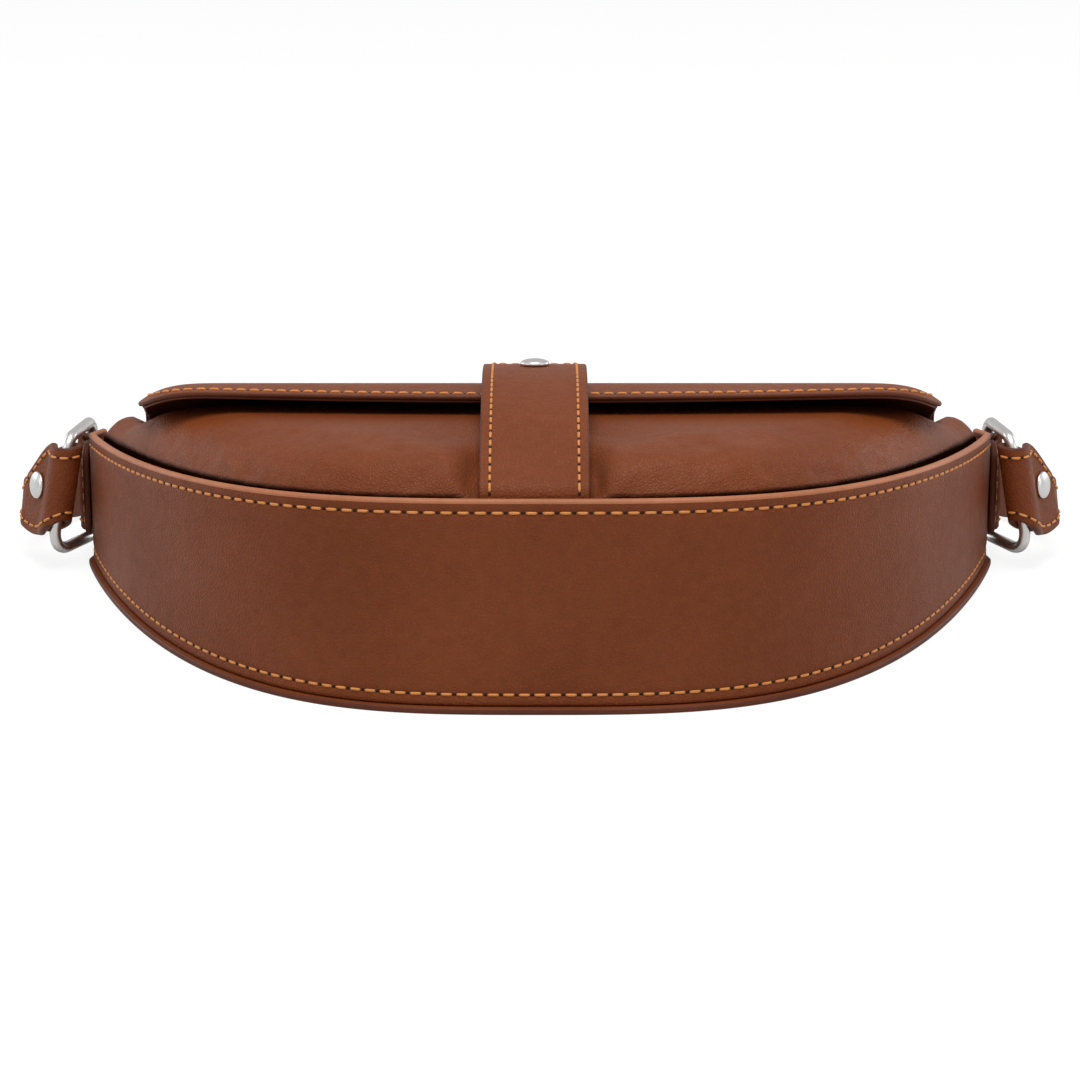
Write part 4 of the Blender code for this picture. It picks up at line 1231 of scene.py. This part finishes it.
def tab_grid(side):
    """The tab as a grid: its path by its width, the tail's low corner rounded off."""
    path = tab_path(side)
    run = run_along(path)
    up = tab_width / 2 * np.linspace(-1, 1, 31)
    first = corner_cut(up, tab_width / 2, tab_corner)
    places = first + (run[-1] - first) * np.linspace(0, 1, 70)[:, None]
    return with_height(at(places, run, path), tab_low + tab_width / 2 + up)


def tab_row(side):
    """The line of stitches: down one edge of the tail, across its end and up the other edge."""
    path = tab_path(side)
    run = run_along(path)
    quarter = np.linspace(0, math.pi / 2, 8)
    half = tab_width / 2 - tab_row_in
    legs = np.linspace(tab_row_start, tab_row_in + tab_row_corner, 24)
    arc_run = tab_row_in + tab_row_corner * (1 - np.sin(quarter))
    arc_up = half - tab_row_corner * (1 - np.cos(quarter))
    place = np.concatenate([legs, arc_run, arc_run[::-1], legs[::-1]])
    up = np.concatenate([np.full(24, half), arc_up, -arc_up[::-1], np.full(24, -half)])
    flat = at(place, run, path)
    ahead = at(place + 0.2 * mm, run, path) - flat
    out = np.column_stack([ahead[:, 1], -ahead[:, 0], 0 * up]) * side
    return np.column_stack([flat, tab_low + tab_width / 2 + up]), out


for side, word in ((-1, "left"), (1, "right")):
    tab = sheet("tab_leather_" + word, tab_grid(side), tab_thickness - tab_ease,
                [tan_leather, edge_leather], side=-side)
    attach(tab, "body")
    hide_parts("side_tab_" + word)
    tab_stitches = stitches("tab_stitches_" + word, *tab_row(side), 4.0 * mm, length=3.0 * mm,
                            width=0.85 * mm)
    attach(tab_stitches, "body")


# Shoulder strap
# A long strap of two leathers stands on edge. Each end is broad, folded round its ring's outer
# leg, cut away slantwise below the fold and riveted to itself. From there the strap narrows,
# sinks to the floor and runs in an arch over the bag's mouth from one ring to the other.
strap_thickness = 2.4 * mm
strap_end_width = 33.4 * mm
strap_width = 12 * mm
strap_taper = (3 * mm, 20 * mm)
strap_neck_height = 18.6 * mm
strap_droop = (24 * mm, 45 * mm)
strap_notch_height = 10 * mm
strap_notch_length = 26 * mm
strap_lean_fade = (17 * mm, 20 * mm)
strap_arch_lean_share = 0.3
strap_end_lean = math.radians(32)
strap_end_straight = 21 * mm
strap_tail_length = 17.5 * mm
strap_closing_length = 9 * mm
strap_arch_half_width = 171 * mm
strap_arch_height = 290 * mm
strap_floor_gap = 0.6 * mm
strap_lining_thickness = 1.0 * mm
strap_arch_out_shares = (1.0, 0.962, 0.862, 0.70, 0.49, 0.25)
strap_arch_up_shares = (0.093, 0.317, 0.541, 0.744, 0.898, 0.979)
strap_row_in = 2.3 * mm
strap_row_skip = 34
strap_under_start_share = 0.2
strap_under_inset = 0.2 * mm
strap_leg = np.array([-(ring_axis_out + ring_splay), ring_axis_y - ring_reach])
end_along = np.array([-math.sin(strap_end_lean), math.cos(strap_end_lean)])
end_outward = np.array([-end_along[1], end_along[0]])
fold_radius = ring_wire / 2 + ring_clearance + strap_thickness / 2
layer_offset = (strap_thickness + 0.3 * mm) / 2
fold_outside = fold_radius + strap_thickness / 2


def layer_spread(along):
    """Half the distance between the folded end's two layers, closing smoothly past the leg."""
    ease = (1 - np.cos(math.pi * np.clip(along / strap_closing_length, 0, 1))) / 2
    return fold_radius + (layer_offset - fold_radius) * ease


def strap_half():
    """Middle line from the left tail's end, round the leg, along the outer layer and up the arch.

    The arch is a smooth curve through knots: each span is a cubic of its four nearest knots.
    """
    def layer(first, last, count, face):
        """Even places of one of the two layers, along the straight end: face is its side."""
        s = np.linspace(first, last, count)[:, None]
        return strap_leg + end_along * s + face * end_outward * layer_spread(s)

    tail = layer(strap_tail_length, 0, 26, -1)
    a = np.linspace(0, math.pi, 40)[1:-1, None]
    fold = strap_leg + fold_radius * (-end_along * np.sin(a) - end_outward * np.cos(a))
    outer = layer(0, strap_end_straight, 8, 1)
    fine = layer(0, strap_end_straight, 30, 1)
    first_up, last_up = outer[-1, 1], strap_arch_height - mouth
    arch = np.column_stack([-strap_arch_half_width * np.array(strap_arch_out_shares),
                            first_up + (last_up - first_up) * np.array(strap_arch_up_shares)])
    top = np.array([[0, last_up]])
    knots = np.vstack([outer[-2:], arch, top, arch[-1:] * [-1, 1]])
    t = np.linspace(0, 1, 17)[1:, None]
    spans = [0.5 * (2 * b + (c - a) * t + (2 * a - 5 * b + 4 * c - d) * t ** 2
                    + (3 * b - a - 3 * c + d) * t ** 3)
             for a, b, c, d in zip(knots, knots[1:], knots[2:], knots[3:])]
    return np.vstack([tail, fold, fine]), np.vstack(spans)


def past_leg(y, span):
    """A smooth share: zero up to a start past the ring's leg, and one from a length further on."""
    return smooth_step((y - strap_leg[1] - span[0]) / span[1])


def strap_heights(flat):
    """Heights of the strap's lower and upper edge over flat places.

    The middle falls from the ring to the neck and on to the floor, and the width narrows to the
    neck. Round the fold the lower edge rises by the square of the nearness to the fold's front.
    """
    taper, droop = past_leg(flat[:, 1], strap_taper), past_leg(flat[:, 1], strap_droop)
    middle = ring_middle + (strap_neck_height - ring_middle) * taper
    middle += (strap_floor_gap + strap_width / 2 - strap_neck_height) * droop
    half = (strap_end_width + (strap_width - strap_end_width) * taper) / 2
    behind = (np.column_stack([-np.abs(flat[:, 0]), flat[:, 1]]) - strap_leg) @ end_along
    notch = np.clip(1 - (behind + fold_outside) / strap_notch_length, 0, 1)
    return middle - half + strap_notch_height * notch ** 2, middle + half


def standing(flat, share):
    """Stand a flat line up: shares of its height, from the lower edge up to the upper one.

    Both ends lean along the rings' outer legs. The arch leans outwards: its height below the
    upper edge, times a share, draws it towards the arch's inside.
    """
    low, high = [height[:, None] for height in strap_heights(flat)]
    z = low + (high - low) * share
    fade = past_leg(flat[:, 1], strap_lean_fade)[:, None]
    lean = ring_lean_share * (1 - fade) * (ring_middle - z)
    drawn = strap_arch_lean_share * fade * (high - z)
    away = unit(flat - [0, strap_leg[1]])
    return np.dstack([flat[:, :1] + np.sign(flat[:, :1]) * lean - drawn * away[:, :1],
                      flat[:, 1:] - drawn * away[:, 1:], z])


def ribbon(line, offset, columns=17, edge_in=0.0):
    """A ribbon on edge: the line moved to its left by an offset, stood up to the strap's width."""
    flat = line + left_normals(line) * offset
    low, high = strap_heights(flat)
    inside = (edge_in / (high - low))[:, None]
    return standing(flat, inside + (1 - 2 * inside) * np.linspace(0, 1, columns)[None, :])


def mirrored(left):
    """A whole line from its left half, whose last point is on the middle."""
    return np.vstack([left, left[:-1][::-1] * [-1, 1]])


strap_end_line, strap_arch_line = strap_half()
strap_line = mirrored(np.vstack([strap_end_line, strap_arch_line]))
strap = sheet("strap_leather", ribbon(strap_line, strap_thickness / 2), strap_thickness,
              [tan_leather, edge_leather])
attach(strap, "shoulder_strap")
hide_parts("shoulder_strap")

under_start = int(strap_under_start_share * len(strap_arch_line))
under_line = mirrored(strap_arch_line[under_start:])
under_grid = ribbon(under_line, -strap_thickness / 2 - layer_gap, edge_in=strap_under_inset)
strap_under = sheet("strap_under_leather", under_grid, strap_lining_thickness,
                    [lining_leather, edge_leather])
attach(strap_under, "shoulder_strap")
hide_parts("shoulder_strap_lining")

row_line = strap_line[strap_row_skip:-strap_row_skip]
row_out = np.column_stack([left_normals(row_line), np.zeros(len(row_line))])
row_flat = row_line + row_out[:, :2] * (strap_thickness / 2 + row_lift)
row_low, row_high = strap_heights(row_flat)
row_share = (strap_row_in / (row_high - row_low))[:, None]
for word, share in (("low", row_share), ("high", 1 - row_share)):
    strap_stitches = stitches("strap_stitches_" + word, standing(row_flat, share)[:, 0], row_out, 4.2 * mm,
                              length=3.1 * mm, width=0.85 * mm)
    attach(strap_stitches, "shoulder_strap")


# Rivets
# A steel rivet through both layers of each folded strap end, its domed cap outside and a washer
# inside.
rivet_along = 12 * mm
rivet_cap_radius = 4.5 * mm
rivet_cap_height = 2.0 * mm
rivet_height_share = 0.6
rivet_post_radius = 1.5 * mm
rivet_washer_radius = 3.75 * mm
rivet_washer_height = 1.0 * mm
for side, word in ((-1, "left"), (1, "right")):
    outward = np.array([-side * end_outward[0], end_outward[1], -ring_lean_share * end_outward[0]])
    face = (float(layer_spread(rivet_along)) + strap_thickness / 2) / np.linalg.norm(outward) + cap_seat
    flat = strap_leg + end_along * rivet_along
    low, high = [float(height[0]) for height in strap_heights(flat[None])]
    height = low + (high - low) * rivet_height_share
    out = flat[0] - ring_lean_share * (ring_middle - height)
    place = np.array([-side * out, flat[1], height]) + unit(outward) * face
    profile = cap_profile(rivet_cap_radius, rivet_cap_height, rivet_post_radius, 2 * face,
                          rivet_washer_radius, rivet_washer_height)
    rivet = turned("rivet_steel_" + word, profile, place, outward, [brushed_steel])
    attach(rivet, "shoulder_strap")
    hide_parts("strap_rivet_" + word)


# Room
# A plain pale floor, a white surround and broad soft lamps: one overhead, one in front, and one
# before and one behind the bag at each side.
scene = bpy.context.scene
scene.view_settings.view_transform = "Standard"
floor_half = 3.0
floor_glow = 1.2
floor_glow_share = 0.7
surround_light = 0.32
surround_gloss_share = 0.4
lamp_side = 1.5


def floor_finish():
    """A pale floor whose own white is lifted for the camera, so that a soft shadow stays on it."""
    finish, tree, shader = new_finish("pale_floor")
    fill(shader, {"Base Color": (0.72, 0.72, 0.72, 1), "Roughness": 0.9})
    glow = node(tree, "Emission", {"Color": (1, 1, 1, 1), "Strength": floor_glow})
    seen = node(tree, "LightPath").outputs["Is Camera Ray"]
    share = maths(tree, "MULTIPLY", seen, floor_glow_share)
    mix = node(tree, "MixShader", {0: share, 1: shader.outputs[0], 2: glow.outputs[0]})
    fill(tree.nodes["Material Output"], {"Surface": mix.outputs[0]})
    return finish


floor_corners = [[-floor_half, -floor_half, 0], [floor_half, -floor_half, 0],
                 [floor_half, floor_half, 0], [-floor_half, floor_half, 0]]
floor = mesh_piece("floor", floor_corners, [[0, 1, 2, 3]], [floor_finish()])


def light_surround():
    """A white world: bright for the camera, dimmer in gloss, and dim as a light."""
    world = bpy.data.worlds.new("white_room")
    scene.world = world
    world.use_nodes = True
    tree = world.node_tree
    rays = node(tree, "LightPath").outputs
    glossy = maths(tree, "MULTIPLY", rays["Is Glossy Ray"], surround_gloss_share)
    seen = maths(tree, "MAXIMUM", rays["Is Camera Ray"], glossy)
    strength = ramp(tree, seen, (0, 1), (surround_light, 1))
    fill(tree.nodes["Background"], {"Color": (1, 1, 1, 1), "Strength": strength})


light_surround()


def lamp(name, place, aim, size, power):
    """A square soft lamp at a place, turned to face its aim."""
    made = bpy.data.objects.new(name, bpy.data.lights.new(name, "AREA"))
    scene.collection.objects.link(made)
    made.data.size = size
    made.data.energy = power
    made.location = place
    made.rotation_euler = (Vector(place) - Vector(aim)).to_track_quat("Z", "Y").to_euler()


lamp("lamp_over", (0, -0.45, 1.5), (0, 0, 0), 0.9, 19)
lamp("lamp_front", (0, -1.9, 0.75), (0, 0, 0.05), 1.2, 0.6)
for side, word in ((-1, "left"), (1, "right")):
    lamp("lamp_back_" + word, (side * lamp_side, 0.9, 0.5), (side * 0.1, 0, 0.03), 0.8, 5)
    lamp("lamp_" + word, (side * lamp_side, -0.7, 0.7), (0, 0, 0.03), 0.9, 3.5)
